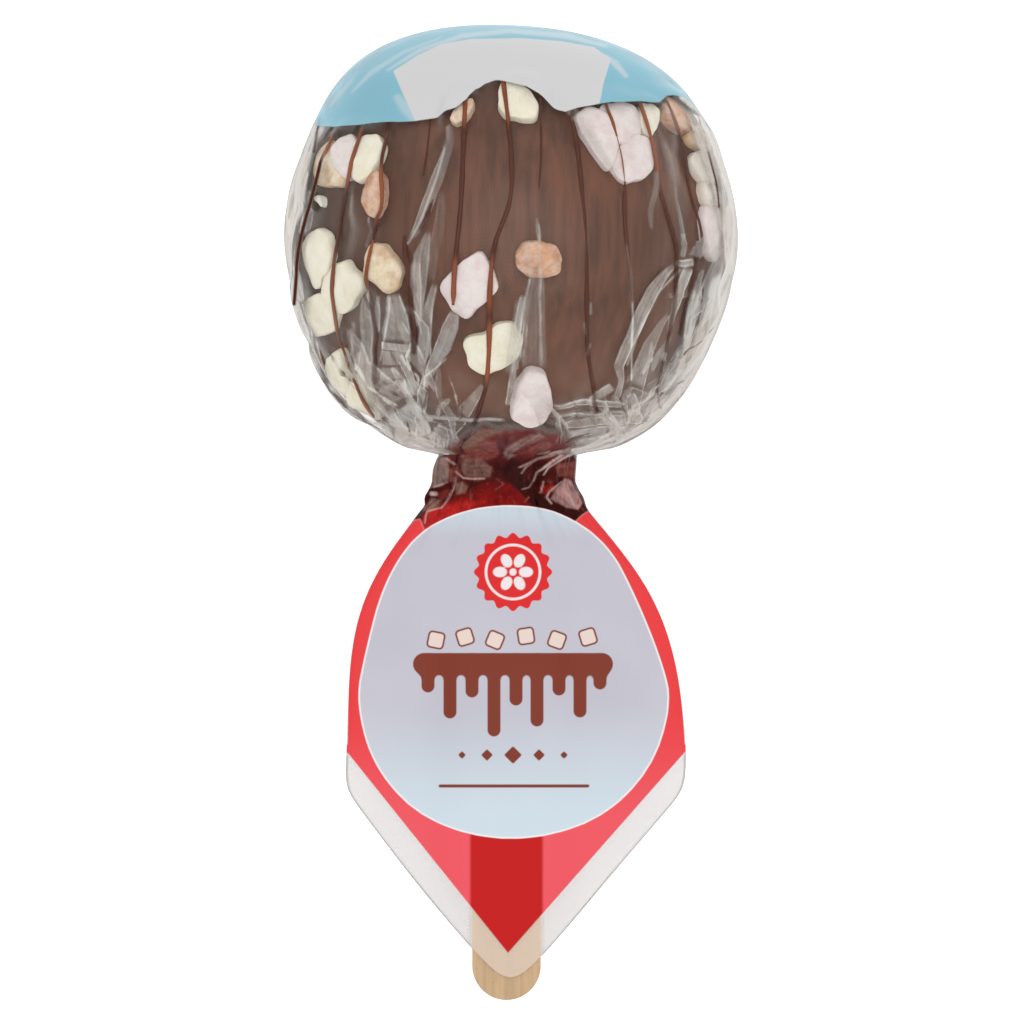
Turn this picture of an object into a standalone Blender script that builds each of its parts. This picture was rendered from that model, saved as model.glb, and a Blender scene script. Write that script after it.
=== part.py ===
"""A chocolate covered apple on a wooden stick, shut in a clear film bag.

The apple lies on its side with the shown face up. The stick runs along Y with
the apple at +Y, X is the width of the bag and Z its height. The origin is on
the surface that it lies on, under the middle of its box.

film_bag is the whole wrapped form: the round apple with the marshmallows that
press the film outwards, the gathered neck and the flat tail that ends in a V.
stick lies in a pocket through the neck and the tail.
"""

import math
import random

import bpy
import bmesh
import numpy as np
from mathutils import Matrix, Vector

MM = 0.001

# The wrapped apple: round about Y, with a superellipse profile that squares up towards both ends.
BULB_HALF_WIDTH = 36.2 * MM
BULB_HALF_DEPTH = 35.6 * MM
BULB_CENTRE_Y = 44.8 * MM
BULB_UP = 33.12 * MM
BULB_DOWN = 37.2 * MM
PROFILE_POWER = 2.0
CROWN_SQUARER = 0.37
BASE_SQUARER = 0.25
SQUARER_FROM = 0.3
SQUARER_TO = 0.9
CROWN_TILT = 0.04
REST_FLAT = 1.2 * MM
AXIS_Z = BULB_HALF_DEPTH - REST_FLAT

# The gathered neck under the apple. The bag's middle shifts to it over a short stretch of the base.
NECK_Y = 9.3 * MM
NECK_HALF_WIDTH = 10.7 * MM
NECK_DEPTH_FALL = 6.5 * MM
NECK_X = -1.1 * MM
NECK_SHIFT = 4.0 * MM

# The flat tail: it flares from the neck and ends in a V with soft corners. Its middle sways a little.
TAIL_HALF_WIDTH = 27.3 * MM
TAIL_X = 0.85 * MM
TAIL_SHIFT = 45.0 * MM
FLARE_START_Y = 5.3 * MM
FLARE_LENGTH = 15.3 * MM
FLARE_POWER = 1.5
V_X = -0.1 * MM
V_SHIFT_Y = (-36.0 * MM, -62.0 * MM)
V_POINT_Y = -78.5 * MM
V_SLOPE = 0.80
V_CORNER = 0.8 * MM
TIP_Y = -74.7 * MM
TAIL_EDGE_HALF = 0.5 * MM
TAIL_EDGE_ROUND = 0.28
FLAT_FROM_Y = 2.0 * MM
FLAT_FULL_Y = -16.0 * MM

# The stick, and the pocket that it lies in.
STICK_LENGTH = 114.0 * MM
STICK_WIDTH = 11.0 * MM
STICK_THICK = 2.0 * MM
STICK_X = -0.72 * MM
STICK_TIP_Y = -77.92 * MM
STICK_EDGE = 0.3 * MM
STICK_END_STEPS = 8
GAP = 0.3 * MM
POCKET_WALL = 0.45 * MM
POCKET_FLAT = 7.0 * MM
POCKET_RAMP = 3.0 * MM
POCKET_OPENING = 20.0 * MM
SPINE = STICK_THICK / 2 + GAP + POCKET_WALL

# Rings of the loft.
SIDES = 64
CROWN_RINGS = 11
BASE_RINGS = 13
NECK_RINGS = 9
TAIL_RINGS = 15
V_CORNER_RINGS = (1.5 * MM, -2.0 * MM)
TIP_RINGS = (1.6 * MM, 0.5 * MM)
SHARP_EDGE = 40.0

# Pleats that run from the apple's lower half into the neck.
PLEATS = ((9, 0.55, 0.4), (13, 0.45, 2.1), (17, 0.3, 4.0))
PLEAT_IN_NECK = 0.11
PLEAT_ON_BASE = 0.035
PLEAT_TOP_Y = 26.0 * MM
PLEAT_END_Y = -14.0 * MM
PLEAT_FADE = 12.0 * MM
PLEAT_EASE = 3.0 * MM

# Marshmallows that show: azimuth from the shown side towards +X in degrees,
# place along Y, width and length in mm, turn in degrees.
SHOWN_MARSHMALLOWS = (
    (-57, 56.5, 8.0, 8.6, 0), (-50, 57.4, 6.6, 7.4, 10), (-41, 57.0, 7.6, 7.8, -8),
    (-38, 50.9, 5.4, 7.6, 8), (-58, 40.8, 7.6, 9.4, 12), (-48.5, 36.2, 8.6, 8.8, -20),
    (-60, 31.7, 8.4, 7.4, 0), (-35, 39.2, 7.4, 8.2, 30), (-10.5, 36.5, 8.2, 10.2, 35),
    (-4.6, 26.4, 9.2, 7.6, 20), (7, 40.6, 7.4, 5.8, 0), (6.5, 18.4, 6.8, 9.9, -14),
    (2.2, 66.0, 6.8, 6.6, 5), (-14, 64.4, 4.8, 4.8, 20), (26, 60.6, 7.0, 7.6, -25),
    (33.6, 56.4, 7.8, 7.8, 5), (35, 62.4, 6.0, 6.0, 15), (43, 62.9, 6.0, 5.6, 10),
    (54, 63.3, 6.6, 5.4, 30), (60, 59.2, 6.4, 5.6, 10), (58, 54.0, 6.0, 5.6, -10),
    (62, 44.5, 7.0, 9.4, 6), (-63, 23.2, 7.4, 7.6, -25), (-60, 16.8, 7.0, 8.0, -30),
)
MARSHMALLOW_RISE = 1.1 * MM
MARSHMALLOW_SINK = 1.5 * MM
MARSHMALLOW_SIDES = 12
MARSHMALLOW_BLOCK = 0.62
SMALL_TURN = 0.01
SMALL_STEP = 0.2 * MM

# The rest of the apple is covered by a seeded rule.
HIDDEN_MARSHMALLOWS = 26
HIDDEN_SEED = 11
HIDDEN_AZIMUTH = (72.0, 288.0)
HIDDEN_Y = (16.0 * MM, 72.0 * MM)
HIDDEN_SIZE = (6.4, 9.2)
HIDDEN_TURN = 45.0
SIDE_CLEAR = 16.0
SPACING = 8.6 * MM
REST_CLEAR = 17.0 * MM


def clear_scene():
    """Remove every object that the file starts with."""
    for old in list(bpy.data.objects):
        bpy.data.objects.remove(old, do_unlink=True)


def material(name, colour, roughness, metallic=0.0, coat=0.0):
    """A Principled material with the sub-part's own colour and finish."""
    mat = bpy.data.materials.new(name)
    mat.use_nodes = True
    shader = mat.node_tree.nodes["Principled BSDF"]
    shader.inputs["Base Color"].default_value = (*colour, 1.0)
    shader.inputs["Roughness"].default_value = roughness
    shader.inputs["Metallic"].default_value = metallic
    shader.inputs["Coat Weight"].default_value = coat
    mat.diffuse_color = (*colour, 1.0)
    return mat


def mesh_object(name, bm, mat=None):
    """Write a bmesh into a new object, with its faces pointing out."""
    bmesh.ops.recalc_face_normals(bm, faces=bm.faces)
    mesh = bpy.data.meshes.new(name)
    bm.to_mesh(mesh)
    bm.free()
    obj = bpy.data.objects.new(name, mesh)
    bpy.context.scene.collection.objects.link(obj)
    if mat:
        mesh.materials.append(mat)
    return obj


def apply_boolean(obj, operation, cutter=None, collection=None):
    """Apply one exact Boolean with an object or a whole collection."""
    mod = obj.modifiers.new(operation, "BOOLEAN")
    mod.operation = operation
    mod.solver = "EXACT"
    if collection:
        mod.operand_type = "COLLECTION"
        mod.collection = collection
    else:
        mod.object = cutter
    graph = bpy.context.evaluated_depsgraph_get()
    result = bpy.data.meshes.new_from_object(obj.evaluated_get(graph))
    obj.modifiers.clear()
    obj.data = result


def keep_largest_shell(obj):
    """Drop loose scraps, and fill hollows that a union sealed, by keeping the largest shell."""
    bm = bmesh.new()
    bm.from_mesh(obj.data)
    unseen = set(bm.verts)
    shells = []
    while unseen:
        shell = set()
        edge_of_shell = [next(iter(unseen))]
        while edge_of_shell:
            vert = edge_of_shell.pop()
            if vert in shell:
                continue
            shell.add(vert)
            edge_of_shell += [edge.other_vert(vert) for edge in vert.link_edges]
        unseen -= shell
        shells.append(shell)
    largest = max(shells, key=len)
    bmesh.ops.delete(bm, geom=[v for v in bm.verts if v not in largest], context="VERTS")
    bm.to_mesh(obj.data)
    bm.free()


def smooth_step(low, high, value):
    """0 below low, 1 above high, an S-curve between."""
    t = np.clip((value - low) / (high - low), 0.0, 1.0)
    return t * t * (3.0 - 2.0 * t)


def soft_min(a, b, width):
    """The lesser of two lengths, with the corner between them rounded."""
    low = min(a, b)
    return low - width * math.log(math.exp((low - a) / width) + math.exp((low - b) / width))


def crown_share(y):
    """How far y lies from the apple's middle, as a share of the way to its crown or its base."""
    return min(1.0, abs(y - BULB_CENTRE_Y) / (BULB_UP if y > BULB_CENTRE_Y else BULB_DOWN))


def bulb_factor(y):
    """The wrapped apple's radius at y, as a share of its greatest radius."""
    t = crown_share(y)
    squarer = CROWN_SQUARER if y > BULB_CENTRE_Y else BASE_SQUARER
    power = PROFILE_POWER + squarer * float(smooth_step(SQUARER_FROM, SQUARER_TO, t))
    return max(0.0, 1.0 - t ** power) ** (1.0 / power)


def bulb_point(across, up, y):
    """A point of the wrapped apple; across and up are the cosine and sine of its place round Y."""
    share = bulb_factor(y)
    x = BULB_HALF_WIDTH * share * across
    lean = CROWN_TILT * float(smooth_step(SQUARER_FROM, 1.0, crown_share(y))) if y > BULB_CENTRE_Y else 0.0
    return x, y - lean * x, BULB_HALF_DEPTH * share * up


def tail_half_width(y):
    """Half the tail's width: an easing flare cut off by a V, a hyperbola at its round tip."""
    run = max(0.0, FLARE_START_Y - y) / FLARE_LENGTH
    flare = NECK_HALF_WIDTH + (TAIL_HALF_WIDTH - NECK_HALF_WIDTH) * (1.0 - math.exp(-run ** FLARE_POWER))
    vee = V_SLOPE * (y - V_POINT_Y)
    tip = V_SLOPE * (TIP_Y - V_POINT_Y)
    return soft_min(flare, math.sqrt(max(0.0, vee ** 2 - tip ** 2)), V_CORNER)


def middle_x(y):
    """The middle of the bag at y: it sways from the apple to the neck, the tail and the V."""
    at_neck = float(smooth_step(NECK_Y + NECK_SHIFT, NECK_Y - NECK_SHIFT, y))
    at_tail = float(smooth_step(FLARE_START_Y, FLARE_START_Y - TAIL_SHIFT, y))
    at_vee = float(smooth_step(*V_SHIFT_Y, y))
    return NECK_X * at_neck + (TAIL_X - NECK_X) * at_tail + (V_X - TAIL_X) * at_vee


def pleat_wave(angle):
    """An uneven wave round the section, for the film's gathers."""
    return sum(share * np.cos(count * angle + phase) for count, share, phase in PLEATS)


def pleat_depth(y):
    """How deep the gathers are at y, as a share of the radius."""
    on_base = PLEAT_ON_BASE * smooth_step(PLEAT_TOP_Y, NECK_Y, y)
    in_neck = (PLEAT_IN_NECK - PLEAT_ON_BASE) * smooth_step(NECK_Y + PLEAT_EASE, NECK_Y - PLEAT_EASE, y)
    return float((on_base + in_neck) * smooth_step(PLEAT_END_Y, PLEAT_END_Y + PLEAT_FADE, y))


def section(y):
    """One ring of points round the bag at y, as SIDES x 3 coordinates."""
    angle = np.arange(SIDES) * 2.0 * math.pi / SIDES
    across = np.cos(angle)
    up = np.sin(angle)
    gathers = 1.0 + pleat_depth(y) * pleat_wave(angle)
    if y > NECK_Y:
        x, place, rise = bulb_point(across, up, y)
        return np.stack([middle_x(y) + x * gathers, place, AXIS_Z + rise * gathers], axis=1)
    bottom = BULB_HALF_DEPTH * bulb_factor(NECK_Y)
    half_depth = SPINE + (bottom - SPINE) * math.exp(-(NECK_Y - y) / NECK_DEPTH_FALL)
    widened = 1.0 + (gathers - 1.0) * smooth_step(0.0, PLEAT_EASE, y)
    x = middle_x(y) + tail_half_width(y) * across * widened
    on_stick = smooth_step(POCKET_FLAT + POCKET_RAMP, POCKET_FLAT, np.abs(x - STICK_X))
    thick = TAIL_EDGE_HALF + (SPINE - TAIL_EDGE_HALF) * on_stick
    flat = thick * np.sign(up) * np.minimum(1.0, np.abs(up) / TAIL_EDGE_ROUND)
    flatness = smooth_step(FLAT_FROM_Y, FLAT_FULL_Y, y)
    z = AXIS_Z + half_depth * up * gathers * (1.0 - flatness) + flat * flatness
    return np.stack([x, np.full(SIDES, y), z], axis=1)


def ring_places():
    """The rings' places along Y, from the crown to the tip of the V."""
    crown = [BULB_CENTRE_Y + BULB_UP * math.sin(math.pi / 2 * (1 - i / CROWN_RINGS))
             for i in range(1, CROWN_RINGS)]
    base_drop = BULB_CENTRE_Y - NECK_Y
    base = [BULB_CENTRE_Y - base_drop * math.sin(math.pi / 2 * i / BASE_RINGS)
            for i in range(BASE_RINGS + 1)]
    neck = [NECK_Y + (PLEAT_END_Y - NECK_Y) * i / NECK_RINGS for i in range(1, NECK_RINGS + 1)]
    tail = [PLEAT_END_Y + (TIP_Y - PLEAT_END_Y) * i / TAIL_RINGS for i in range(1, TAIL_RINGS)]
    corner = V_POINT_Y + TAIL_HALF_WIDTH / V_SLOPE
    tail += [corner + offset for offset in V_CORNER_RINGS] + [TIP_Y + offset for offset in TIP_RINGS]
    return crown + base + neck + sorted(tail, reverse=True)


def bag_form():
    """Bridge the rings, close both ends and cut the flat spot that it rests on."""
    bm = bmesh.new()
    rings = []
    for y in ring_places():
        rings.append([bm.verts.new(point) for point in section(y)])
    for upper, lower in zip(rings, rings[1:]):
        for i in range(SIDES):
            j = (i + 1) % SIDES
            bm.faces.new((upper[i], upper[j], lower[j], lower[i]))
    crown = bm.verts.new((0.0, BULB_CENTRE_Y + BULB_UP, AXIS_Z))
    for i in range(SIDES):
        bm.faces.new((crown, rings[0][(i + 1) % SIDES], rings[0][i]))
    bm.faces.new(rings[-1])
    bmesh.ops.triangulate(bm, faces=[f for f in bm.faces if len(f.verts) == 4])
    everything = bm.verts[:] + bm.edges[:] + bm.faces[:]
    cut = bmesh.ops.bisect_plane(bm, geom=everything, plane_co=(0, 0, 0), plane_no=(0, 0, 1),
                                 clear_inner=True)
    edge = [part for part in cut["geom_cut"] if isinstance(part, bmesh.types.BMEdge)]
    bmesh.ops.edgenet_fill(bm, edges=edge)
    bmesh.ops.triangulate(bm, faces=[f for f in bm.faces if len(f.verts) > 3])
    return bm


def place_on_bulb(azimuth, y, turn):
    """The frame of a point on the wrapped apple: X round it, Y along it, Z out."""
    def surface(angle, at_y):
        x, place, rise = bulb_point(math.sin(angle), math.cos(angle), at_y)
        return Vector((x, place, AXIS_Z + rise))

    angle = math.radians(azimuth)
    point = surface(angle, y)
    along = (surface(angle, y + SMALL_STEP) - surface(angle, y - SMALL_STEP)).normalized()
    around = (surface(angle + SMALL_TURN, y) - surface(angle - SMALL_TURN, y)).normalized()
    outwards = around.cross(along).normalized()
    frame = Matrix((around, along, outwards)).transposed().to_4x4()
    return Matrix.Translation(point) @ frame @ Matrix.Rotation(math.radians(turn), 4, "Z")


def rounded_power(value, power):
    """A signed power, which squares up a sphere's circles."""
    return math.copysign(abs(value) ** power, value)


def marshmallow(place, width, length, collection):
    """A squared-up ellipsoid, sunk into the wrapped apple by part of its height."""
    height = (MARSHMALLOW_RISE + MARSHMALLOW_SINK) / 2
    bm = bmesh.new()
    bmesh.ops.create_uvsphere(bm, u_segments=MARSHMALLOW_SIDES, v_segments=4, radius=1.0)
    for vert in bm.verts:
        flat = math.hypot(vert.co.x, vert.co.y) ** MARSHMALLOW_BLOCK
        turn = math.atan2(vert.co.y, vert.co.x)
        across = flat * rounded_power(math.cos(turn), MARSHMALLOW_BLOCK)
        along = flat * rounded_power(math.sin(turn), MARSHMALLOW_BLOCK)
        up = rounded_power(vert.co.z, MARSHMALLOW_BLOCK)
        vert.co = (width / 2 * across, length / 2 * along, height * up + MARSHMALLOW_RISE - height)
    bmesh.ops.transform(bm, matrix=place, verts=bm.verts)
    obj = mesh_object("marshmallow", bm)
    bpy.context.scene.collection.objects.unlink(obj)
    collection.objects.link(obj)


def hidden_marshmallows():
    """Seeded places on the sides and the underside, apart and off the flat spot."""
    draw = random.Random(HIDDEN_SEED)
    rest = Vector((0.0, BULB_CENTRE_Y, 0.0))
    taken = [place_on_bulb(a, y * MM, 0).translation for a, y, *_ in SHOWN_MARSHMALLOWS]
    rows = []
    while len(rows) < HIDDEN_MARSHMALLOWS:
        azimuth = draw.uniform(*HIDDEN_AZIMUTH)
        y = draw.uniform(*HIDDEN_Y)
        width, length = draw.uniform(*HIDDEN_SIZE), draw.uniform(*HIDDEN_SIZE)
        turn = draw.uniform(-HIDDEN_TURN, HIDDEN_TURN)
        spot = place_on_bulb(azimuth, y, 0).translation
        at_side = min(abs(azimuth - 90), abs(azimuth - 270)) < SIDE_CLEAR
        crowded = any((spot - other).length < SPACING for other in taken)
        if at_side or crowded or (spot - rest).length < REST_CLEAR:
            continue
        taken.append(spot)
        rows.append((azimuth, y / MM, width, length, turn))
    return rows


def stick_outline_points(width, tip_y, top_y, steps=STICK_END_STEPS):
    """A strip along Y with a half circle at each end, as (x, y) points."""
    half = width / 2
    tip = [(half * math.cos(a), tip_y + half + half * math.sin(a))
           for a in (math.pi + math.pi * i / steps for i in range(steps + 1))]
    top = [(half * math.cos(a), top_y - half + half * math.sin(a))
           for a in (math.pi * i / steps for i in range(steps + 1))]
    return tip + top


def slab(name, outline, thick, centre_x, mat=None):
    """Extrude an outline to a slab about the bag's middle plane."""
    bm = bmesh.new()
    floor = bm.faces.new([bm.verts.new((centre_x + x, y, AXIS_Z - thick / 2)) for x, y in outline])
    walls = bmesh.ops.extrude_face_region(bm, geom=[floor])
    raised = [part for part in walls["geom"] if isinstance(part, bmesh.types.BMVert)]
    bmesh.ops.translate(bm, verts=raised, vec=(0, 0, thick))
    return mesh_object(name, bm, mat)


def build_stick():
    """The flat wooden stick, with round ends and softened edges."""
    wood = material("bare wood", (0.58, 0.39, 0.24), 0.6)
    top_y = STICK_TIP_Y + STICK_LENGTH
    outline = stick_outline_points(STICK_WIDTH, STICK_TIP_Y, top_y)
    stick = slab("stick", outline, STICK_THICK, STICK_X, wood)
    edge = stick.modifiers.new("soft edges", "BEVEL")
    edge.width = STICK_EDGE
    edge.segments = 2
    edge.limit_method = "ANGLE"
    return stick


def build_bag():
    """The wrapped form: loft, marshmallows joined on, stick pocket cut out."""
    film = material("wrapped milk chocolate", (0.17, 0.085, 0.06), 0.35, coat=0.4)
    bag = mesh_object("film_bag", bag_form(), film)

    toppings = bpy.data.collections.new("marshmallows")
    bpy.context.scene.collection.children.link(toppings)
    for azimuth, y, width, length, turn in list(SHOWN_MARSHMALLOWS) + hidden_marshmallows():
        marshmallow(place_on_bulb(azimuth, y * MM, turn), width * MM, length * MM, toppings)
    apply_boolean(bag, "UNION", collection=toppings)
    for part in list(toppings.objects):
        bpy.data.objects.remove(part, do_unlink=True)
    bpy.data.collections.remove(toppings)
    keep_largest_shell(bag)

    pocket_top = STICK_TIP_Y + STICK_LENGTH + GAP
    outline = stick_outline_points(STICK_WIDTH + 2 * GAP, STICK_TIP_Y - POCKET_OPENING, pocket_top)
    pocket = slab("pocket", outline, STICK_THICK + 2 * GAP, STICK_X)
    apply_boolean(bag, "DIFFERENCE", cutter=pocket)
    bpy.data.objects.remove(pocket, do_unlink=True)

    bag.data.shade_smooth()
    bag.data.set_sharp_from_angle(angle=math.radians(SHARP_EDGE))
    return bag


def main():
    clear_scene()
    build_bag()
    build_stick()


main()
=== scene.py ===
"""The looks of a chocolate covered apple on a stick, shut in a printed film bag.

The apple lies with its shown side up. Y runs along the stick towards the
apple's crown, X across the bag and Z up towards the camera. Every new surface
is worked out with numpy from the sizes below, in metres.
"""
import math
from collections import namedtuple

import bpy
import numpy as np
from bpy.props import FloatProperty, FloatVectorProperty, IntProperty, PointerProperty
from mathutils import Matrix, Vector


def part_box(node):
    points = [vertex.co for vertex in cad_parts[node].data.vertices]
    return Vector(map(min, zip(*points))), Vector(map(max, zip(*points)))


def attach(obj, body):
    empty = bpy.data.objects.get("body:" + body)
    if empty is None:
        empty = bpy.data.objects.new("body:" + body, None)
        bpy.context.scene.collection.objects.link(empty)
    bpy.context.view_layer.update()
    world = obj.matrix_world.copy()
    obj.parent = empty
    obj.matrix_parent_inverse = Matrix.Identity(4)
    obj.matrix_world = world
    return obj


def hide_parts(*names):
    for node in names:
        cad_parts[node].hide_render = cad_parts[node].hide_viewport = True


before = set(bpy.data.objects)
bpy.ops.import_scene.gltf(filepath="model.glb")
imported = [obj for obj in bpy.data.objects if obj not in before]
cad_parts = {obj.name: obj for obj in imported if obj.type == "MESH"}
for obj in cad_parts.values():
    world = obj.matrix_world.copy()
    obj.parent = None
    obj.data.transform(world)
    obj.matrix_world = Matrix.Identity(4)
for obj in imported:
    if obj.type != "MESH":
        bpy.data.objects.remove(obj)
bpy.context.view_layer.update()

bl_info = {
    "name": "Wrapped chocolate apple",
    "version": (1, 0, 0),
    "blender": (4, 5, 0),
    "location": "3D View > Sidebar > Wrapped apple",
    "description": "Builds the apple, its marshmallows and drizzle, the film bag, the stick and the stage",
    "category": "Add Mesh",
}

MM = 0.001
BAG_LOW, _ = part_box("film_bag")
STICK_LOW, STICK_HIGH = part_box("stick")
AXIS_Z = (STICK_LOW.z + STICK_HIGH.z) / 2
STICK_X = (STICK_LOW.x + STICK_HIGH.x) / 2
STICK_HALF = (STICK_HIGH.x - STICK_LOW.x) / 2
STICK_THICK = STICK_HIGH.z - STICK_LOW.z
STICK_EDGE = 0.3 * MM
STICK_RINGS, STICK_POINTS = 9, 120

# The photograph: its scale at the height of the stick, and the lens that looks down on it.
PX = 0.16 * MM
PHOTO_MIDDLE = (512.0, 512.0)
CAMERA_PLACE = (0.16 * MM, 0.16 * MM)
LENS = 300.0
SENSOR = 36.0
CAMERA_RISE = 1024 * PX * LENS / SENSOR

# Round forms about Y, whose superellipse profiles square up towards their ends, as the solids have them.
Form = namedtuple("Form", "half_width half_depth middle_y up down crown_squarer base_squarer")
FILM_FORM = Form(36.2 * MM, 35.6 * MM, 44.8 * MM, 33.12 * MM, 37.2 * MM, 0.37, 0.25)
APPLE_FORM = Form(35.2 * MM, 34.5 * MM, 44.7 * MM, 32.2 * MM, 35.3 * MM, 0.37, 0.27)
PROFILE_POWER = 2.0
SQUARER_FROM = 0.3
SQUARER_TO = 0.9
CROWN_TILT = 0.04

# The search for the place on a form that the camera sees at a place on the photograph.
SEARCH_STEPS = 12
SEARCH_SHARE = 0.8
SEARCH_REACH = 0.985
SEARCH_TURN = 1.45

# The neck and the tail, as the solids have them.
NECK_Y = 9.3 * MM
NECK_HALF_WIDTH = 10.7 * MM
NECK_DEPTH_FALL = 6.5 * MM
NECK_X = -1.1 * MM
NECK_SHIFT = 4.0 * MM
TAIL_HALF_WIDTH = 27.3 * MM
TAIL_X = 0.85 * MM
TAIL_SHIFT = 45.0 * MM
FLARE_START_Y = 5.3 * MM
FLARE_LENGTH = 15.3 * MM
FLARE_POWER = 1.5
V_X = -0.1 * MM
V_SHIFT_Y = (-36.0 * MM, -62.0 * MM)
V_POINT_Y = -78.5 * MM
V_SLOPE = 0.80
V_CORNER = 0.8 * MM
TIP_Y = BAG_LOW.y
PLEAT_END_Y = -14.0 * MM
CRUSH_END_Y = -3.0 * MM
TAIL_THICK = 0.35 * MM
TAIL_SWAY = 0.25 * MM
STICK_COVER = 0.6 * MM
FILM_SLACK = 0.10 * MM
RELIEF_FADES = math.radians(84), math.radians(62)
REST_CLEAR = 0.04 * MM
CONTENTS_CLEAR = 0.12 * MM

# Marshmallows: how deep they sink in, the points of their outline, and their domes with soft facets.
MARSHMALLOW_SINK = 1.0 * MM
RIM_POINTS = 48
SHOWN_RINGS = 20
DOME_POWER, DOME_ROOT = 3.64, 0.3
FACETS = 5
FACET_SOFT = 0.05 * MM

# Strings: how high they lie, how far they lift at the apple's limb, and how far beside them a block counts.
DRIZZLE_RISE = 0.10 * MM
LIMB_LIFT = 1.2 * MM
BESIDE = math.radians(2.2)
STRING_SIDES = 8

# Behind: how near two marshmallows lie, how far they keep from the resting spot, where the strings run, the
# creases in the film and the crown's level edge.
HIDDEN_GAP = 8.2 * MM
REST_SPOT = 15 * MM
HIDDEN_CORNERS = 8
HIDDEN_COLOURS = ("cream", "pink", "cream", "tan_cream", "pink", "tan")
HIDDEN_STRINGS = np.radians(np.arange(96, 272, 15.5))
BACK_CREASES = 46
CROWN_BACK_Y = 64.5 * MM

# Where the film round the apple is parted into pieces.
CROWN_EDGE_Y = 57.0 * MM
WINDOW_SPLIT_Y = 31.0 * MM

# The window's pieces: their ends across from -1 to 1, their ends along the apple, their columns and rows.
WINDOW_PIECES = (
    ("film_window_upper_left", -1.0, -0.3, WINDOW_SPLIT_Y, CROWN_EDGE_Y, 300, 260),
    ("film_window_upper_right", -0.3, 1.0, WINDOW_SPLIT_Y, CROWN_EDGE_Y, 380, 240),
    ("film_window_lower_left", -1.0, -0.3, NECK_Y, WINDOW_SPLIT_Y, 400, 240),
    ("film_window_lower_middle", -0.3, 0.3, NECK_Y, WINDOW_SPLIT_Y, 400, 240),
    ("film_window_lower_right", 0.3, 1.0, NECK_Y, WINDOW_SPLIT_Y, 400, 240),
)

# The tail's faces: the side they turn to, in front or behind, then their columns and rows.
TAIL_PIECES = (("film_tail_front", 1, 220, 270), ("film_tail_back", -1, 120, 130))

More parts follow.
